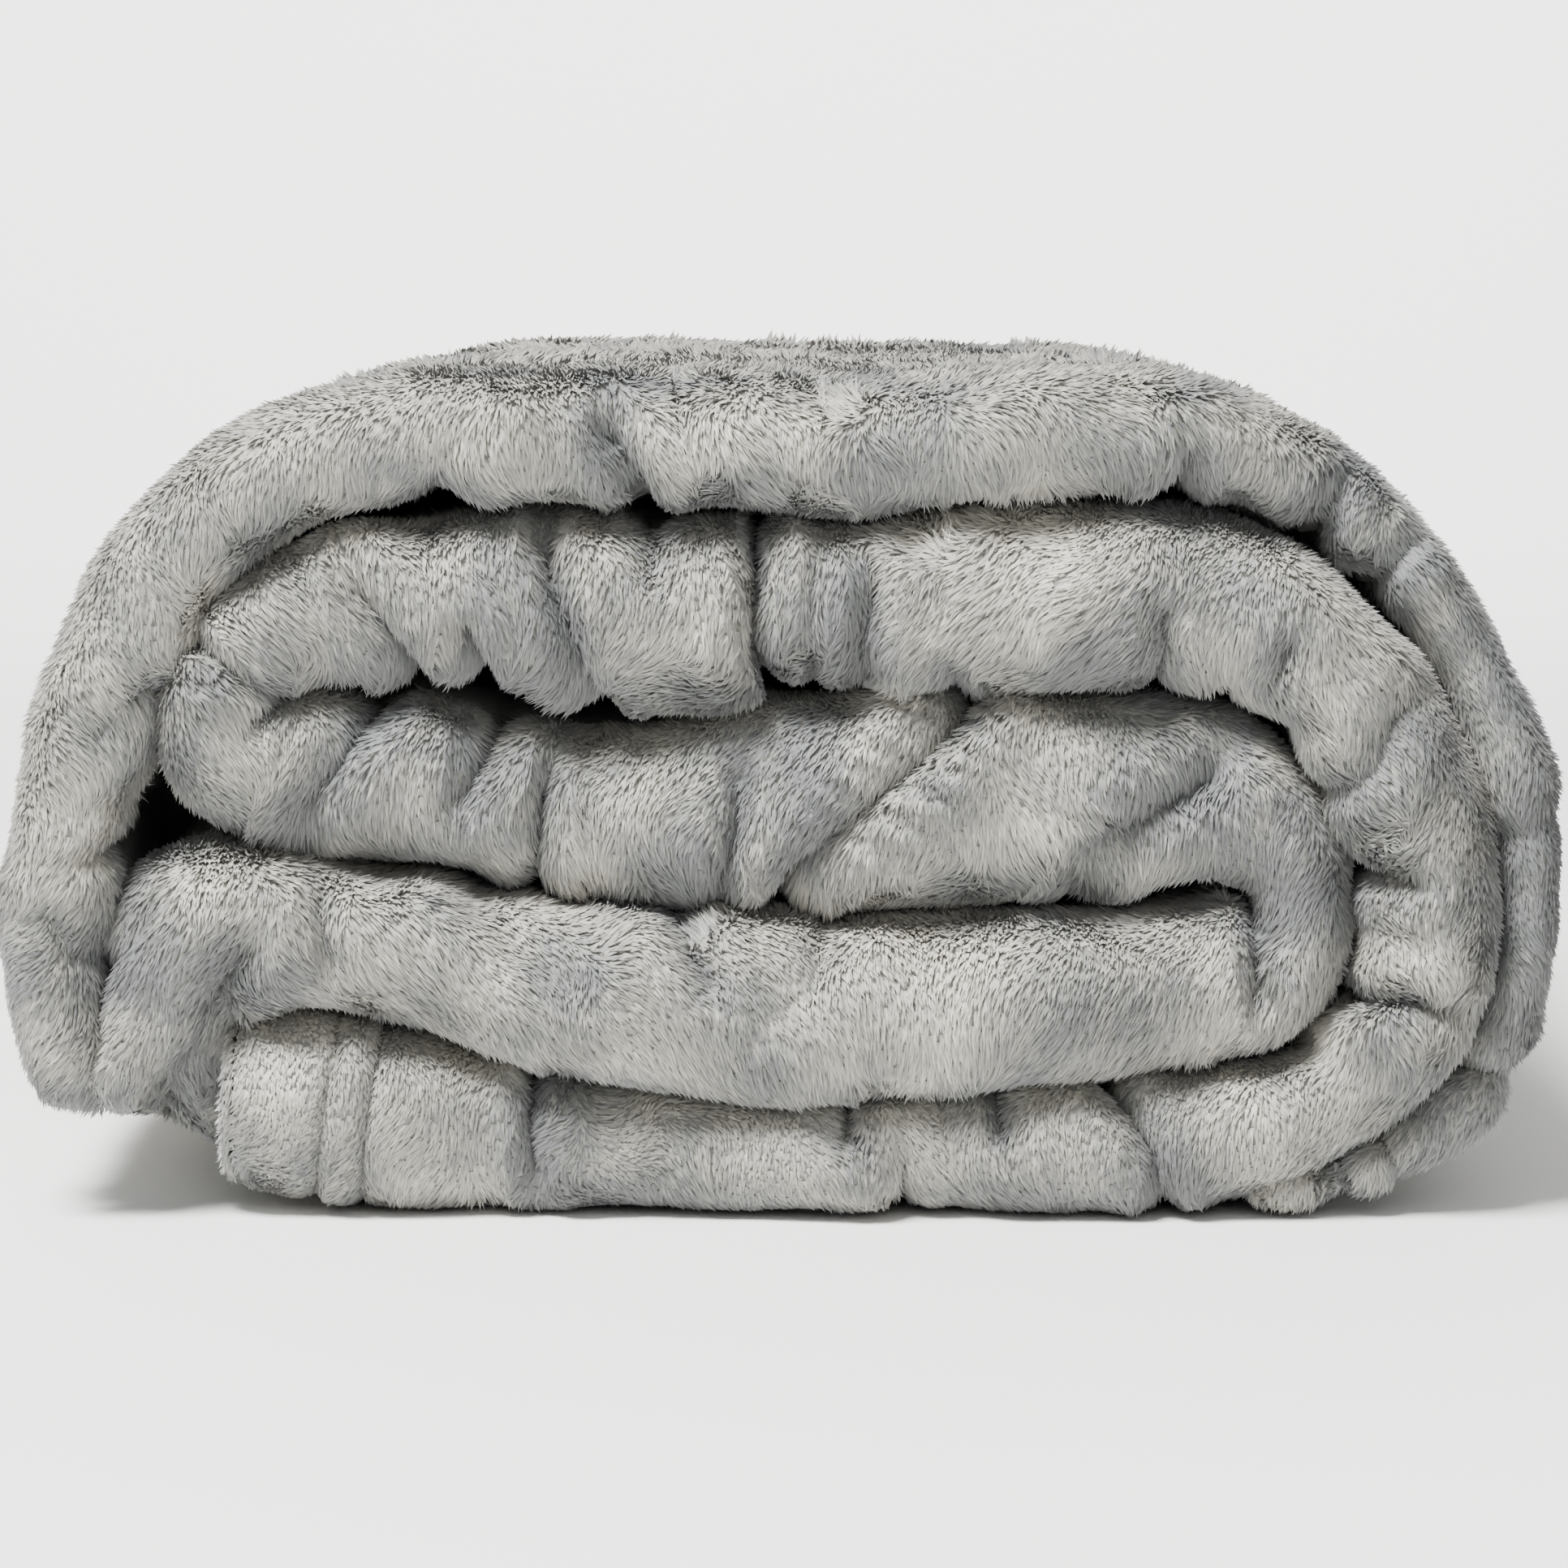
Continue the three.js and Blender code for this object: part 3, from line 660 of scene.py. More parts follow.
across = np.concatenate([[0], np.cumsum(np.mean(
    np.linalg.norm(np.diff(cloth, axis=1), axis=2), axis=0))])
print("cloth measured across", round(across[-1]), "mm")
# the end that lifts begins three quarters along the top
splitStation = stationAt(np.interp(0.75, [0, 1], runLimits["outerTop"]))
rollCloth = clothPiece("rollCloth", 0, splitStation)
flapCloth = clothPiece("flapCloth", splitStation, len(along) - 1)
print("cloth meshes", len(rollCloth.data.polygons), len(flapCloth.data.polygons))

# The pile. Tufts grow on the faces of the cloth that can be seen or that meet the eye between
# the folds, and each stretch of the roll has its own piece for each side that it shows.
pile = {
    "front": {"density": 1.86, "length": 3.3, "width": 1.06, "lean": 2.0, "scatter": 0.28},
    "outside": {"density": 0.5, "length": 3.8, "width": 1.95, "lean": 2.2, "scatter": 0.35},
    "lining": {"density": 0.34, "length": 3.5, "width": 2.2, "lean": 2.2, "scatter": 0.35},
    "back": {"density": 0.37, "length": 3.4, "width": 1.9, "lean": 1.5, "scatter": 0.4},
    "under": {"density": 0.14, "length": 2.8, "width": 2.2, "lean": 2.2, "scatter": 0.4},
    "root": 0.5, "blotch": 20.0, "blotchShare": 0.68, "softness": 0.7,
    "leastCover": 0.05, "leastFaceCover": 0.02,
}
# How much shorter a tuft is in the stitch rows, where the pile is also sparser, in the band
# outside them, under the roll and close to the ground, and how it varies.
pileTall = {"row": 0.75, "rowWidth": 1.5, "band": 0.3, "bandFade": 3, "bottom": 0.74,
            "vary": (0.12, 12, 41), "groundRoom": 3.2, "least": 0.22, "hemEdge": 0.7}
# Where each zone of pile starts or ends, in mm behind the front, and over how much it thins out.
# liftedFrom is in x, endRim is in y, and topEdge is counted from the back.
pileEdge = {"front": (44, 20), "slit": (32, 16), "outside": (22, 20), "lining": (14, 16),
            "under": 30, "slitCover": 0.7, "liftedFrom": (50, 10), "topEdge": 6,
            "endRim": (-60, 40), "endRimLeast": 0.4}
# The way the pile is brushed, and the size, seed and amount of the swirls in it.
napForm = {"way": (0.0, -0.55, -1.0), "swirls": [(45, 21, 0.3), (10, 31, 0.22)], "least": 0.35}
# How tufts differ from each other, the range of the noise that becomes patches, and how far the
# painted shade and nap tone pull them towards the dark shades.
tuft = {"length": (0.72, 1.28), "width": (0.75, 1.2), "patch": (0.3, 0.7), "dusk": -0.4}
pileRuns = {"bottom": ("bottom",), "innerRight": ("innerRight",), "innerTop": ("innerTop",),
            "core": ("coreLeft", "core"), "lower": ("coreRight", "lower"),
            "outerLeft": ("outerLeft", "left"), "outerTop": ("outerTop",),
            "outerRight": ("outerRight",)}


def floatField(name, entry, values):
    attribute = entry.attributes.new(name, "FLOAT", "POINT")
    attribute.data.foreach_set("value", values.ravel().astype(np.float32))


def vectorField(name, entry, values):
    attribute = entry.attributes.new(name, "FLOAT_VECTOR", "POINT")
    attribute.data.foreach_set("vector", values.reshape(-1, 3).ravel().astype(np.float32))


def napField(part, normal):
    # the pile is brushed down the front folds and towards the front on top, with swirls in it
    flat = part.reshape(-1, 3)
    way = np.tile(napForm["way"], (len(flat), 1))
    for axis in range(3):
        way[:, axis] += sum(softNoise(flat, size, seed + axis) * amount
                            for size, seed, amount in napForm["swirls"])
    out = normal.reshape(-1, 3)
    way -= out * np.sum(way * out, axis=1)[:, None]
    length = np.linalg.norm(way, axis=1)[:, None]
    return way / np.maximum(length, napForm["least"])


def coverOf(zone, part, first):
    # how much of the full pile each place has in that zone, from 0 to 1
    y = part[:, :, 1]
    column = np.arange(part.shape[1])[None, :] + 0 * y
    front = -roll["depth"] / 2
    top = column < topPly[1]
    fold = (column >= frontFold[0] - 1) & (column < frontFold[1] + 1)
    under = (column >= underPly[0]) & (column < underPly[1])
    if zone == "front":
        reach, fade = pileEdge["front"]
        nearFront = smoothStep((front + reach - y) / fade)
        reach, fade = pileEdge["slit"]
        inSlit = pileEdge["slitCover"] * smoothStep((front + reach - y) / fade)
        seen = nearFront if first >= stationAt(runLimits["outerLeft"][0]) else inSlit
        return np.where(fold, 1.0, np.where(top, seen, np.where(under, inSlit, 0.0)))
    if zone == "outside":
        depth, fade = pileEdge["outside"]
        return np.where(top, smoothStep((y - front - depth) / fade), 0.0)
    if zone == "lining":
        # what the lifted end uncovers: the roll's right side, and its own inner face
        start, fade = pileEdge["liftedFrom"]
        uncovered = smoothStep((part[:, :, 0] - start) / fade)
        depth, fade = pileEdge["lining"]
        return np.where(under, smoothStep((y - front - depth) / fade), 0.0) * uncovered
    if zone == "back":
        edge = (column >= underPly[1] - 1) & (column <= backFold[1])
        topEdge = top & (y > roll["depth"] / 2 - pileEdge["topEdge"])
        innerEdge = (column > part.shape[1] - 2)
        return np.where(edge | topEdge | innerEdge, 1.0, 0.0)
    return np.where(under & (y > front + pileEdge["under"]), 1.0, 0.0)


def pileTree():
    tree = bpy.data.node_groups.new("pileTufts", "GeometryNodeTree")
    face = tree.interface
    face.new_socket("Cloth", in_out="INPUT", socket_type="NodeSocketGeometry")
    for name in ("Tufts per square metre", "Tuft length", "Tuft width", "Lean", "Scatter", "Root",
                 "Blotch size", "Blotch share", "Softness"):
        face.new_socket(name, in_out="INPUT", socket_type="NodeSocketFloat")
    face.new_socket("Seed", in_out="INPUT", socket_type="NodeSocketInt")
    face.new_socket("Pile", in_out="OUTPUT", socket_type="NodeSocketGeometry")
    given = addNode(tree, "NodeGroupInput").outputs
    cover = addNode(tree, "GeometryNodeInputNamedAttribute", {0: "cover"}, data_type="FLOAT")
    nap = addNode(tree, "GeometryNodeInputNamedAttribute", {0: "nap"}, data_type="FLOAT_VECTOR")
    tall = addNode(tree, "GeometryNodeInputNamedAttribute", {0: "tall"}, data_type="FLOAT")
    shaded = addNode(tree, "GeometryNodeInputNamedAttribute", {0: "dusk"}, data_type="FLOAT")
    thick = addNode(tree, "ShaderNodeMath", {0: cover.outputs[0],
                    1: given["Tufts per square metre"]}, operation="MULTIPLY")
    spots = addNode(tree, "GeometryNodeDistributePointsOnFaces", {
        "Mesh": given["Cloth"], "Density": thick.outputs[0], "Seed": given["Seed"]})
    # each tuft leans along the nap, with some scatter
    leaning = addNode(tree, "ShaderNodeVectorMath", {
        0: nap.outputs[0], "Scale": given["Lean"]}, operation="SCALE")
    stray = addNode(tree, "FunctionNodeRandomValue", {
        0: (-1, -1, -1), 1: (1, 1, 1), "Seed": given["Seed"]}, data_type="FLOAT_VECTOR")
    strayed = addNode(tree, "ShaderNodeVectorMath", {
        0: stray.outputs[0], "Scale": given["Scatter"]}, operation="SCALE")
    upright = addNode(tree, "ShaderNodeVectorMath", {
        0: spots.outputs["Normal"], 1: leaning.outputs[0]}, operation="ADD")
    way = addNode(tree, "ShaderNodeVectorMath", {
        0: upright.outputs[0], 1: strayed.outputs[0]}, operation="ADD")
    turned = addNode(tree, "FunctionNodeAlignRotationToVector", {"Vector": way.outputs[0]},
                     axis="Z")
    spin = addNode(tree, "FunctionNodeRandomValue", {
        0: (0, 0, 0), 1: (0, 0, 6.283), "Seed": 5}, data_type="FLOAT_VECTOR")
    spun = addNode(tree, "FunctionNodeRotateRotation", {
        0: turned.outputs[0], 1: spin.outputs[0]}, rotation_space="LOCAL")
    # a tuft is a slim closed spike with three sides
    spike = addNode(tree, "GeometryNodeMeshCone", {
        "Vertices": 3, "Radius Top": 0.0, "Radius Bottom": 0.5, "Depth": 1.0})
    varied = addNode(tree, "FunctionNodeRandomValue", {
        2: tuft["length"][0], 3: tuft["length"][1], "Seed": 9}, data_type="FLOAT")
    fat = addNode(tree, "FunctionNodeRandomValue", {
        2: tuft["width"][0], 3: tuft["width"][1], "Seed": 10}, data_type="FLOAT")
    ownLength = addNode(tree, "ShaderNodeMath", {
        0: given["Tuft length"], 1: varied.outputs[1]}, operation="MULTIPLY")
    length = addNode(tree, "ShaderNodeMath", {
        0: ownLength.outputs[0], 1: tall.outputs[0]}, operation="MULTIPLY")
    width = addNode(tree, "ShaderNodeMath", {
        0: given["Tuft width"], 1: fat.outputs[1]}, operation="MULTIPLY")
    size = addNode(tree, "ShaderNodeCombineXYZ", {
        0: width.outputs[0], 1: width.outputs[0], 2: length.outputs[0]})
    # the shade wanders in broad patches and differs from tuft to tuft
    where = addNode(tree, "GeometryNodeInputPosition")
    patch = addNode(tree, "ShaderNodeTexNoise", {
        "Vector": where.outputs[0], "Scale": given["Blotch size"], "Detail": 2.0})
    spread = addNode(tree, "ShaderNodeMapRange", {
        0: patch.outputs[0], 1: tuft["patch"][0], 2: tuft["patch"][1], 3: 0.0, 4: 1.0})
    ownShade = addNode(tree, "FunctionNodeRandomValue", {2: 0.0, 3: 1.0, "Seed": 14},
                       data_type="FLOAT")
    blend = addNode(tree, "ShaderNodeMix", {
        0: given["Blotch share"], 2: ownShade.outputs[1], 3: spread.outputs[0]},
        data_type="FLOAT")
    # painted shade: tufts in creases, under folds, in stitch rows and at set-back places take darker
    # pile colours, and those on top of folds lighter ones
    darker = addNode(tree, "ShaderNodeMath", {
        0: shaded.outputs[0], 1: tuft["dusk"], 2: blend.outputs[0]}, operation="MULTIPLY_ADD")
    scaled = addNode(tree, "ShaderNodeMath", {
        0: darker.outputs[0], 1: float(len(shades))}, operation="MULTIPLY")
    kept = addNode(tree, "ShaderNodeClamp", {0: scaled.outputs[0], 1: 0.0, 2: len(shades) - 0.5})
    whole = addNode(tree, "FunctionNodeFloatToInt", {0: kept.outputs[0]}, rounding_mode="FLOOR")
    marked = addNode(tree, "GeometryNodeStoreNamedAttribute", {
        "Geometry": spots.outputs["Points"], "Name": "shade", "Value": whole.outputs[0]},
        data_type="INT", domain="POINT")
    leant = addNode(tree, "GeometryNodeStoreNamedAttribute", {
        "Geometry": marked.outputs[0], "Name": "clothNormal", "Value": spots.outputs["Normal"]},
        data_type="FLOAT_VECTOR", domain="POINT")
    planted = addNode(tree, "GeometryNodeInstanceOnPoints", {
        "Points": leant.outputs[0], "Instance": spike.outputs[0], "Rotation": spun.outputs[0],
        "Scale": size.outputs[0]})
    rooted = addNode(tree, "ShaderNodeMath", {0: given["Root"], 1: -1.0}, operation="MULTIPLY")
    depth = addNode(tree, "ShaderNodeCombineXYZ", {2: rooted.outputs[0]})
    sunk = addNode(tree, "GeometryNodeTranslateInstances", {
        "Instances": planted.outputs[0], "Translation": depth.outputs[0], "Local Space": True})
    real = addNode(tree, "GeometryNodeRealizeInstances", {"Geometry": sunk.outputs[0]})
    smooth = addNode(tree, "GeometryNodeSetShadeSmooth", {"Geometry": real.outputs[0]})
    # pile is too fine to shade as single spikes, so a tuft is lit mostly as the cloth under it is
    clothUnder = addNode(tree, "GeometryNodeInputNamedAttribute", {0: "clothNormal"},
                         data_type="FLOAT_VECTOR")
    ownNormal = addNode(tree, "GeometryNodeInputNormal")
    lit = addNode(tree, "ShaderNodeMix", {
        0: given["Softness"], 4: ownNormal.outputs[0], 5: clothUnder.outputs[0]},
        data_type="VECTOR")
    softened = addNode(tree, "GeometryNodeSetMeshNormal", {
        "Mesh": smooth.outputs[0], "Custom Normal": lit.outputs[1]}, mode="TANGENT_SPACE")
    result = softened.outputs[0]
    for number, material in enumerate(shades):
        shade = addNode(tree, "GeometryNodeInputNamedAttribute", {0: "shade"}, data_type="INT")
        chosen = addNode(tree, "FunctionNodeCompare", {2: shade.outputs[0], 3: number},
                         data_type="INT", operation="EQUAL")
        painted = addNode(tree, "GeometryNodeSetMaterial", {
            "Geometry": result, "Selection": chosen.outputs[0], "Material": material})
        result = painted.outputs[0]
    addNode(tree, "NodeGroupOutput", {0: result})
    return tree


def setInput(modifier, tree, name, value):
    # a modifier's input is set by its socket's identifier
    for item in tree.interface.items_tree:
        if item.item_type == "SOCKET" and item.in_out == "INPUT" and item.name == name:
            modifier[item.identifier] = value


def applied(holder, name):
    # what the modifiers make, as a plain mesh object, and the holder is removed
    graph = bpy.context.evaluated_depsgraph_get()
    mesh = bpy.data.meshes.new_from_object(holder.evaluated_get(graph), depsgraph=graph)
    mesh.name = name
    old = holder.data
    bpy.data.objects.remove(holder)
    bpy.data.meshes.remove(old)
    return newObject(name, mesh)


pileMaker = pileTree()
fromEnd, fromSide = hemDistance()


def hemPatch(line, out, away, cover, shade):
    # the round edge of a hem: the cloth's edge line, its normals, and the way off the cloth
    half = plies["thickness"] / 2
    points = np.stack([line + out * half * s + away * half * (hem["edgeOut"] + c)
                       for c, s in roundTurn(-90, 90, hem["edgePlaces"])], axis=1)
    if np.sum(surfaceNormals(points) * away[:, None, :]) < 0:
        points = points[:, ::-1]
    size = points.shape[:2]
    return {"points": points, "cover": np.repeat(cover[:, None], size[1], axis=1),
            "tall": np.full(size, pileTall["hemEdge"]),
            "dusk": np.repeat(shade[:, None], size[1], axis=1)}


def awayFrom(edge, inside):
    way = edge - inside
    return way / np.maximum(np.linalg.norm(way, axis=1), 1e-6)[:, None]


def clothPatch(zone, run, first, last):
    part = cloth[first:last + 1]
    cover = coverOf(zone, part, first)
    tall = np.ones(cover.shape)
    for distance in (fromEnd[first:last + 1], fromSide[first:last + 1]):
        for row in hem["rows"]:
            near = np.exp(-((distance - row) / pileTall["rowWidth"]) ** 2)
            tall *= 1 - pileTall["row"] * near
            cover = cover * (1 - pileTall["row"] * near)
    outsideRows = hem["rows"][0] - fromEnd[first:last + 1]
    tall *= 1 - pileTall["band"] * smoothStep(outsideRows / pileTall["bandFade"])
    if run == "bottom":
        tall *= pileTall["bottom"]
    amount, size, seed = pileTall["vary"]
    tall *= 1 + amount * softNoise(part.reshape(-1, 3), size, seed).reshape(tall.shape)
    points = part + clothNormal[first:last + 1] * (plies["thickness"] / 2)
    tall *= np.clip(points[:, :, 2] / pileTall["groundRoom"], pileTall["least"], 1)
    return {"points": points, "cover": cover, "tall": tall, "dusk": dusk[first:last + 1]}


def pilePatches(zone, run, first, last):
    # the faces of the cloth, and the round edges of the hems, that this piece grows on
    patches = [clothPatch(zone, run, first, last)]
    line, out, shade = cloth[first:last + 1], clothNormal[first:last + 1], dusk[first:last + 1]
    if zone == "back":
        for edge, inside in ((0, 1), (-1, -2)):
            away = awayFrom(line[:, edge], line[:, inside])
            patches.append(hemPatch(line[:, edge], out[:, edge], away, np.ones(len(line)),
                                    shade[:, edge]))
    if zone == "front":
        for station, inside in ((0, 1), (-1, -2)):
            if (first, last + 1)[station] in (0, len(cloth)):
                away = awayFrom(line[station], line[inside])
                start, fade = pileEdge["endRim"]
                least = pileEdge["endRimLeast"]
                cover = least + (1 - least) * smoothStep((start - line[station, :, 1]) / fade)
                patches.append(hemPatch(line[station], out[station], away, cover,
                                        shade[station]))
    return patches


def growPile(zone, run, first, last):
    patches = pilePatches(zone, run, first, last)
    if max(patch["cover"].max() for patch in patches) < pile["leastCover"]:
        return None
    points, faces, fields, count = [], [], {"cover": [], "tall": [], "dusk": [], "nap": []}, 0
    for patch in patches:
        faces.append(faceIndex(patch["points"].shape, count))
        count += patch["cover"].size
        points.append(patch["points"].reshape(-1, 3))
        for name in ("cover", "tall", "dusk"):
            fields[name].append(patch[name].ravel())
        fields["nap"].append(napField(patch["points"], surfaceNormals(patch["points"])))
    cover = np.concatenate(fields["cover"])
    faces = np.vstack(faces)
    faces = faces[np.max(cover[faces], axis=1) > pile["leastFaceCover"]]
    mesh = bpy.data.meshes.new("pileGround")
    mesh.from_pydata((np.vstack(points) * mm).tolist(), [], faces.tolist())
    mesh.update()
    for name in ("cover", "tall", "dusk"):
        floatField(name, mesh, np.concatenate(fields[name]))
    vectorField("nap", mesh, np.vstack(fields["nap"]))
    holder = newObject("pileGround", mesh)
    modifier = holder.modifiers.new("pile", "NODES")
    modifier.node_group = pileMaker
    look = pile[zone]
    settings = {"Tufts per square metre": look["density"] / mm ** 2,
                "Tuft length": look["length"] * mm, "Tuft width": look["width"] * mm,
                "Lean": look["lean"], "Scatter": look["scatter"], "Root": pile["root"] * mm,
                "Blotch size": 1 / (pile["blotch"] * mm), "Blotch share": pile["blotchShare"],
                "Softness": pile["softness"], "Seed": first + 7}
    for name, value in settings.items():
        setInput(modifier, pileMaker, name, value)
    return applied(holder, f"pile_{zone}_{run}")


def pileStretches():
    # the pile is split at the runs, and where the part of the cloth that lifts begins
    for label, names in pileRuns.items():
        first, last = stationAt(runLimits[names[0]][0]), stationAt(runLimits[names[-1]][1])
        if first < splitStation < last:
            yield label, first, splitStation, "root"
            yield label + "Flap", splitStation, last, "outer_flap"
        else:
            yield label, first, last, "outer_flap" if first >= splitStation else "root"


# every stretch has pile at the front and back, and some have it on these sides too
sidesWithPile = {"outside": ("outerLeft", "outerTop", "outerTopFlap", "outerRight"),
                 "under": ("bottom",),
                 "lining": ("innerRight", "innerTop", "outerTopFlap", "outerRight")}
rollPile, flapPile = [], []
for run, first, last, body in pileStretches():
    sides = [side for side, runs in sidesWithPile.items() if run in runs]
    for zone in ["front", "back"] + sides:
        tufts = growPile(zone, run, first, last)
        if tufts:
            (flapPile if body == "outer_flap" else rollPile).append(tufts)
            print(tufts.name, len(tufts.data.polygons))


# Stitches: each hem is held by two rows of lockstitch, which sink into the pile. Sizes in mm, and
# the column across the cloth where the rows along the ends begin.
stitch = {"pitch": 3.2, "length": 2.5, "width": 0.55, "rise": 0.35, "firstColumn": 4}


def stitchTree():
    tree = bpy.data.node_groups.new("stitchRow", "GeometryNodeTree")
    face = tree.interface
    face.new_socket("Row", in_out="INPUT", socket_type="NodeSocketGeometry")
    for name in ("Pitch", "Stitch length", "Thread width"):
        face.new_socket(name, in_out="INPUT", socket_type="NodeSocketFloat")
    face.new_socket("Stitches", in_out="OUTPUT", socket_type="NodeSocketGeometry")
    given = addNode(tree, "NodeGroupInput").outputs
    line = addNode(tree, "GeometryNodeMeshToCurve", {"Mesh": given["Row"]})
    spots = addNode(tree, "GeometryNodeCurveToPoints", {
        "Curve": line.outputs[0], "Length": given["Pitch"]}, mode="LENGTH")
    bead = addNode(tree, "GeometryNodeMeshIcoSphere", {"Radius": 0.5, "Subdivisions": 1})
    size = addNode(tree, "ShaderNodeCombineXYZ", {
        0: given["Thread width"], 1: given["Thread width"], 2: given["Stitch length"]})
    turned = addNode(tree, "FunctionNodeAlignRotationToVector", {
        "Vector": spots.outputs["Tangent"]}, axis="Z")
    laid = addNode(tree, "GeometryNodeInstanceOnPoints", {
        "Points": spots.outputs["Points"], "Instance": bead.outputs[0],
        "Rotation": turned.outputs[0], "Scale": size.outputs[0]})
    real = addNode(tree, "GeometryNodeRealizeInstances", {"Geometry": laid.outputs[0]})
    smooth = addNode(tree, "GeometryNodeSetShadeSmooth", {"Geometry": real.outputs[0]})
    painted = addNode(tree, "GeometryNodeSetMaterial", {
        "Geometry": smooth.outputs[0], "Material": thread})
    addNode(tree, "NodeGroupOutput", {0: painted.outputs[0]})
    return tree


stitchMaker = stitchTree()


def stitchLine(name, lines):
    # lines are lists of points in mm that rows of stitches follow
    points, edges = [], []
    for line in lines:
        start = len(points)
        points += [tuple(Vector(p) * mm) for p in line]
        edges += [(start + i, start + i + 1) for i in range(len(line) - 1)]
    mesh = bpy.data.meshes.new("stitchPath")
    mesh.from_pydata(points, edges, [])
    holder = newObject("stitchPath", mesh)
    modifier = holder.modifiers.new("stitches", "NODES")
    modifier.node_group = stitchMaker
    setInput(modifier, stitchMaker, "Pitch", stitch["pitch"] * mm)
    setInput(modifier, stitchMaker, "Stitch length", stitch["length"] * mm)
    setInput(modifier, stitchMaker, "Thread width", stitch["width"] * mm)
    return applied(holder, name)


skin = cloth + clothNormal * (plies["thickness"] / 2 + stitch["rise"])


def endRow(distance, atStart):
    # across the cloth at one end of the throw, over the outer plies and round the front
    length = distance if atStart else along[-1] - distance
    station = stationAt(length)
    return skin[station, stitch["firstColumn"]:underPly[1]]


def sideColumn(distance):
    # the column of the outermost ply that is that far from the hemmed side
    return int(np.argmin(np.abs(fromSide[0, :topPly[1]] - distance)))


def sideRow(distance, first, last):
    # along the hemmed side of the outermost ply, near the back of the roll
    return skin[first:last + 1, sideColumn(distance)]


endStation = stationAt(along[-1] - hem["width"] - 2)
sideStart = stationAt(runLimits["outerLeft"][0])
innerHemStitches = stitchLine("innerHemStitches", [endRow(row, True) for row in hem["rows"]])
outerHemStitches = stitchLine("outerHemStitches", [endRow(row, False) for row in hem["rows"]])
sideHemStitches = stitchLine("sideHemStitches", [
    sideRow(row, sideStart, splitStation) for row in hem["rows"]])
flapSideStitches = stitchLine("flapSideStitches", [
    sideRow(row, splitStation, endStation) for row in hem["rows"]])
print("stitches made")

# The care label: a blank satin ribbon sewn in at the side hem, lying on the left of the roll.
label = {"length": 45, "width": 22, "thickness": 0.5, "along": 22, "lift": 2.4,
         "sewnLift": 0.25, "risesOver": 3, "places": 12}


def labelGrid():
    # it is sewn in at the inner row of stitches and lies forward from there, on top of the pile
    centre = stationAt(runLimits["left"][0] + label["along"])
    first = stationAt(along[centre] - label["width"] / 2)
    last = stationAt(along[centre] + label["width"] / 2)
    back = cloth[centre, sideColumn(hem["rows"][1] + 1), 1]
    ys = np.linspace(back, back - label["length"], label["places"])
    rows = []
    for station in range(first, last + 1):
        line = cloth[station, :topPly[1]]
        out = clothNormal[station, :topPly[1]]
        order = np.argsort(line[:, 1])
        row = []
        for number, y in enumerate(ys):
            place = [np.interp(y, line[order, 1], line[order, k]) for k in range(3)]
            away = np.array([np.interp(y, line[order, 1], out[order, k]) for k in range(3)])
            share = min(number / label["risesOver"], 1)
            lift = label["lift"] * (label["sewnLift"] + (1 - label["sewnLift"]) * share)
            row.append(np.array(place) + away * (plies["thickness"] / 2 + lift))
        rows.append(row)
    grid = np.array(rows)
    smooth = grid.copy()
    smooth[1:-1] = (grid[:-2] + grid[1:-1] + grid[2:]) / 3
    return smooth


def careLabel():
    grid = labelGrid()
    faces = turnedOver(faceIndex(grid.shape))
    mesh = bpy.data.meshes.new("careLabel")
    mesh.from_pydata((grid.reshape(-1, 3) * mm).tolist(), [], faces.tolist())
    mesh.polygons.foreach_set("use_smooth", np.ones(len(mesh.polygons), dtype=bool))
    mesh.materials.append(satin)
    holder = newObject("careLabelSheet", mesh)
    wall = holder.modifiers.new("wall", "SOLIDIFY")
    wall.thickness = label["thickness"] * mm
    wall.offset = 0
    fine = holder.modifiers.new("fine", "SUBSURF")
    fine.levels = 1
    fine.render_levels = 1
    return applied(holder, "careLabel")


ribbon = careLabel()
print("label made")

# The roll's pieces go on the root body, and the pieces of the outer end have their placing baked
# into their meshes.
bodyNodes = frame["record"]["behaviour"]["bodies"]
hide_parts(*[n for n in bodyNodes["root"] if "stitch" not in n and n != "care_label"])
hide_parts(*[n for n in bodyNodes["outer_flap"] if "stitch" not in n])
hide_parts("inner_end_stitch_1", "inner_end_stitch_2")
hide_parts("side_stitch_1", "side_stitch_2")
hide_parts("outer_end_stitch_1", "outer_end_stitch_2")
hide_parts("flap_side_stitch_1", "flap_side_stitch_2")
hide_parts("care_label")
for piece in [rollCloth, innerHemStitches, sideHemStitches, ribbon] + rollPile:
    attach(piece, "root")
for piece in [flapCloth, outerHemStitches, flapSideStitches] + flapPile:
    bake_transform(piece)

# The room: a pale floor that curves up behind, soft lights and the camera. Each light has its
# power, its size, where it stands and what it is aimed at.
room = {"floor": "#fafaf8", "roughness": 0.9, "reach": 9.0, "bendStart": 2.2, "bend": 1.4,
        "wallTop": 4.0, "world": 0.34,
        "lights": {"key": (142.0, (0.8, 0.6), (-0.65, -1.0, 1.75), (0, 0, 0.08)),
                   "front": (4.0, (1.2, 0.9), (0.1, -1.7, 0.75), (0, 0, 0.08)),
                   "wall": (300.0, (4.0, 0.8), (0, 1.4, 2.6), (0, 3.4, 1.6))},
        "cameraDistance": 1.0, "lens": 121.0, "elevation": 5.6, "aimHeight": 0.0850}


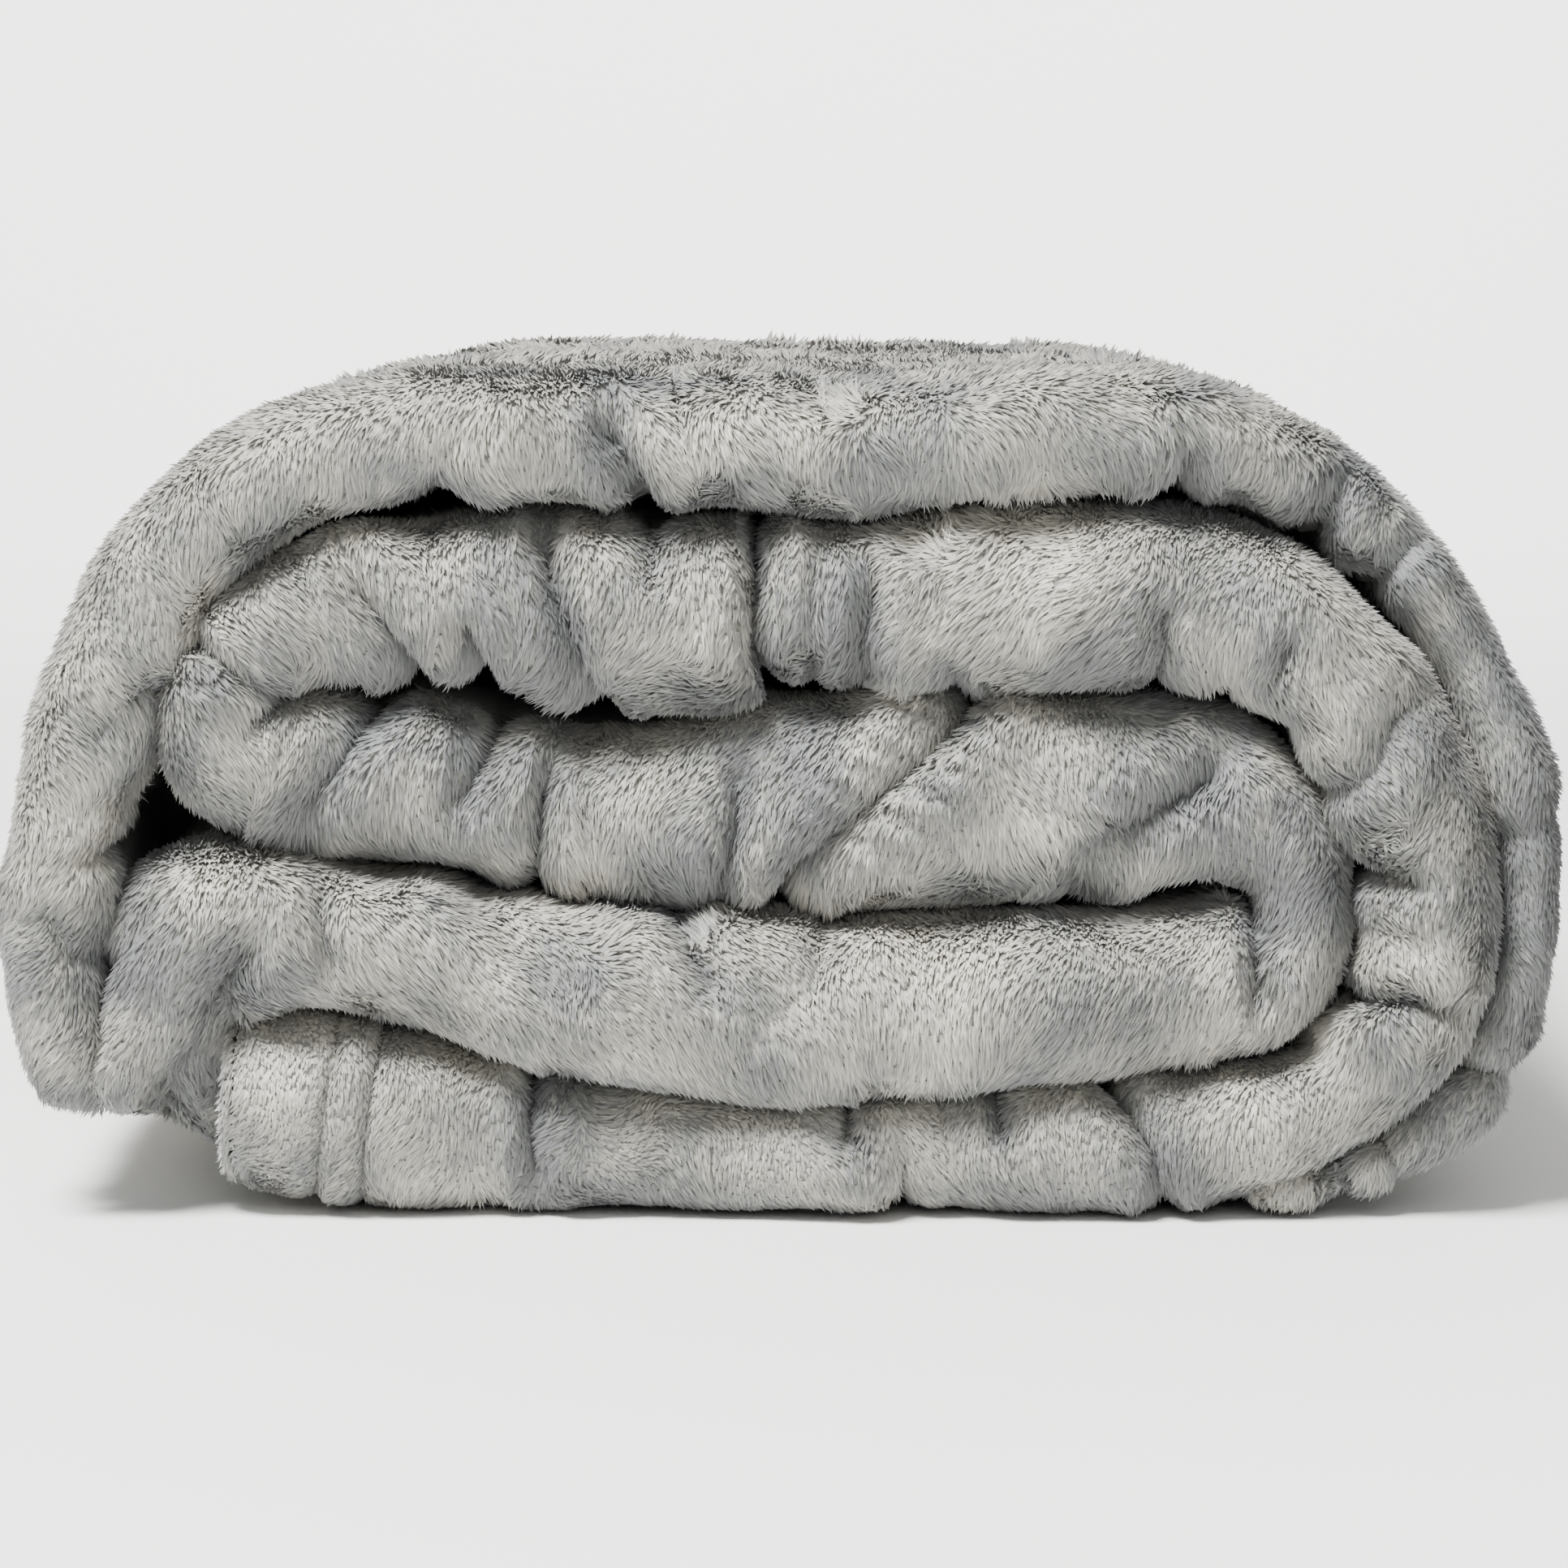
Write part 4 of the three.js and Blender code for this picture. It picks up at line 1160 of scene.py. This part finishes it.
def makeFloor():
    # a sheet of pale paper that lies on the floor and curves up into a wall behind
    mesh = bpy.data.meshes.new("floor")
    profile = [(-room["reach"], 0), (room["bendStart"], 0)]
    for angle in np.linspace(0, 90, 13)[1:]:
        turn = math.radians(angle)
        profile.append((room["bendStart"] + room["bend"] * math.sin(turn),
                        room["bend"] * (1 - math.cos(turn))))
    profile.append((profile[-1][0], room["wallTop"]))
    points = [(x, y, z) for y, z in profile for x in (-room["reach"], room["reach"])]
    faces = [(2 * i, 2 * i + 1, 2 * i + 3, 2 * i + 2) for i in range(len(profile) - 1)]
    mesh.from_pydata(points, [], faces)
    mesh.polygons.foreach_set("use_smooth", np.ones(len(faces), dtype=bool))
    floor = newObject("floor", mesh)
    mesh.materials.append(newMaterial("palePaper", {
        "Base Color": toLinear(room["floor"]), "Roughness": room["roughness"]})[0])


def makeLight(name, power, size, place, aim):
    light = bpy.data.lights.new(name, "AREA")
    light.shape = "RECTANGLE"
    light.size, light.size_y = size
    light.energy = power
    lamp = newObject(name, light)
    lamp.location = place
    lamp.rotation_euler = (Vector(aim) - Vector(place)).to_track_quat("-Z", "Y").to_euler()


def makeCamera():
    camera = bpy.data.cameras.new("camera")
    camera.lens = room["lens"]
    camera.sensor_width = 36
    camera.clip_end = 50
    holder = newObject("camera", camera)
    tilt = math.radians(room["elevation"])
    aim = Vector((0, -roll["depth"] / 2 * mm, room["aimHeight"]))
    away = Vector((0, -math.cos(tilt), math.sin(tilt)))
    holder.location = aim + away * room["cameraDistance"]
    holder.rotation_euler = (-away).to_track_quat("-Z", "Y").to_euler()
    bpy.context.scene.camera = holder


def makeWorld():
    world = bpy.data.worlds.new("studio")
    world.use_nodes = True
    world.node_tree.nodes.clear()
    white = addNode(world.node_tree, "ShaderNodeBackground", {
        "Color": (1, 1, 1, 1), "Strength": room["world"]})
    addNode(world.node_tree, "ShaderNodeOutputWorld", {"Surface": white.outputs[0]})
    bpy.context.scene.world = world


makeFloor()
for name, settings in room["lights"].items():
    makeLight(name, *settings)
makeCamera()
makeWorld()

print("scene ready")
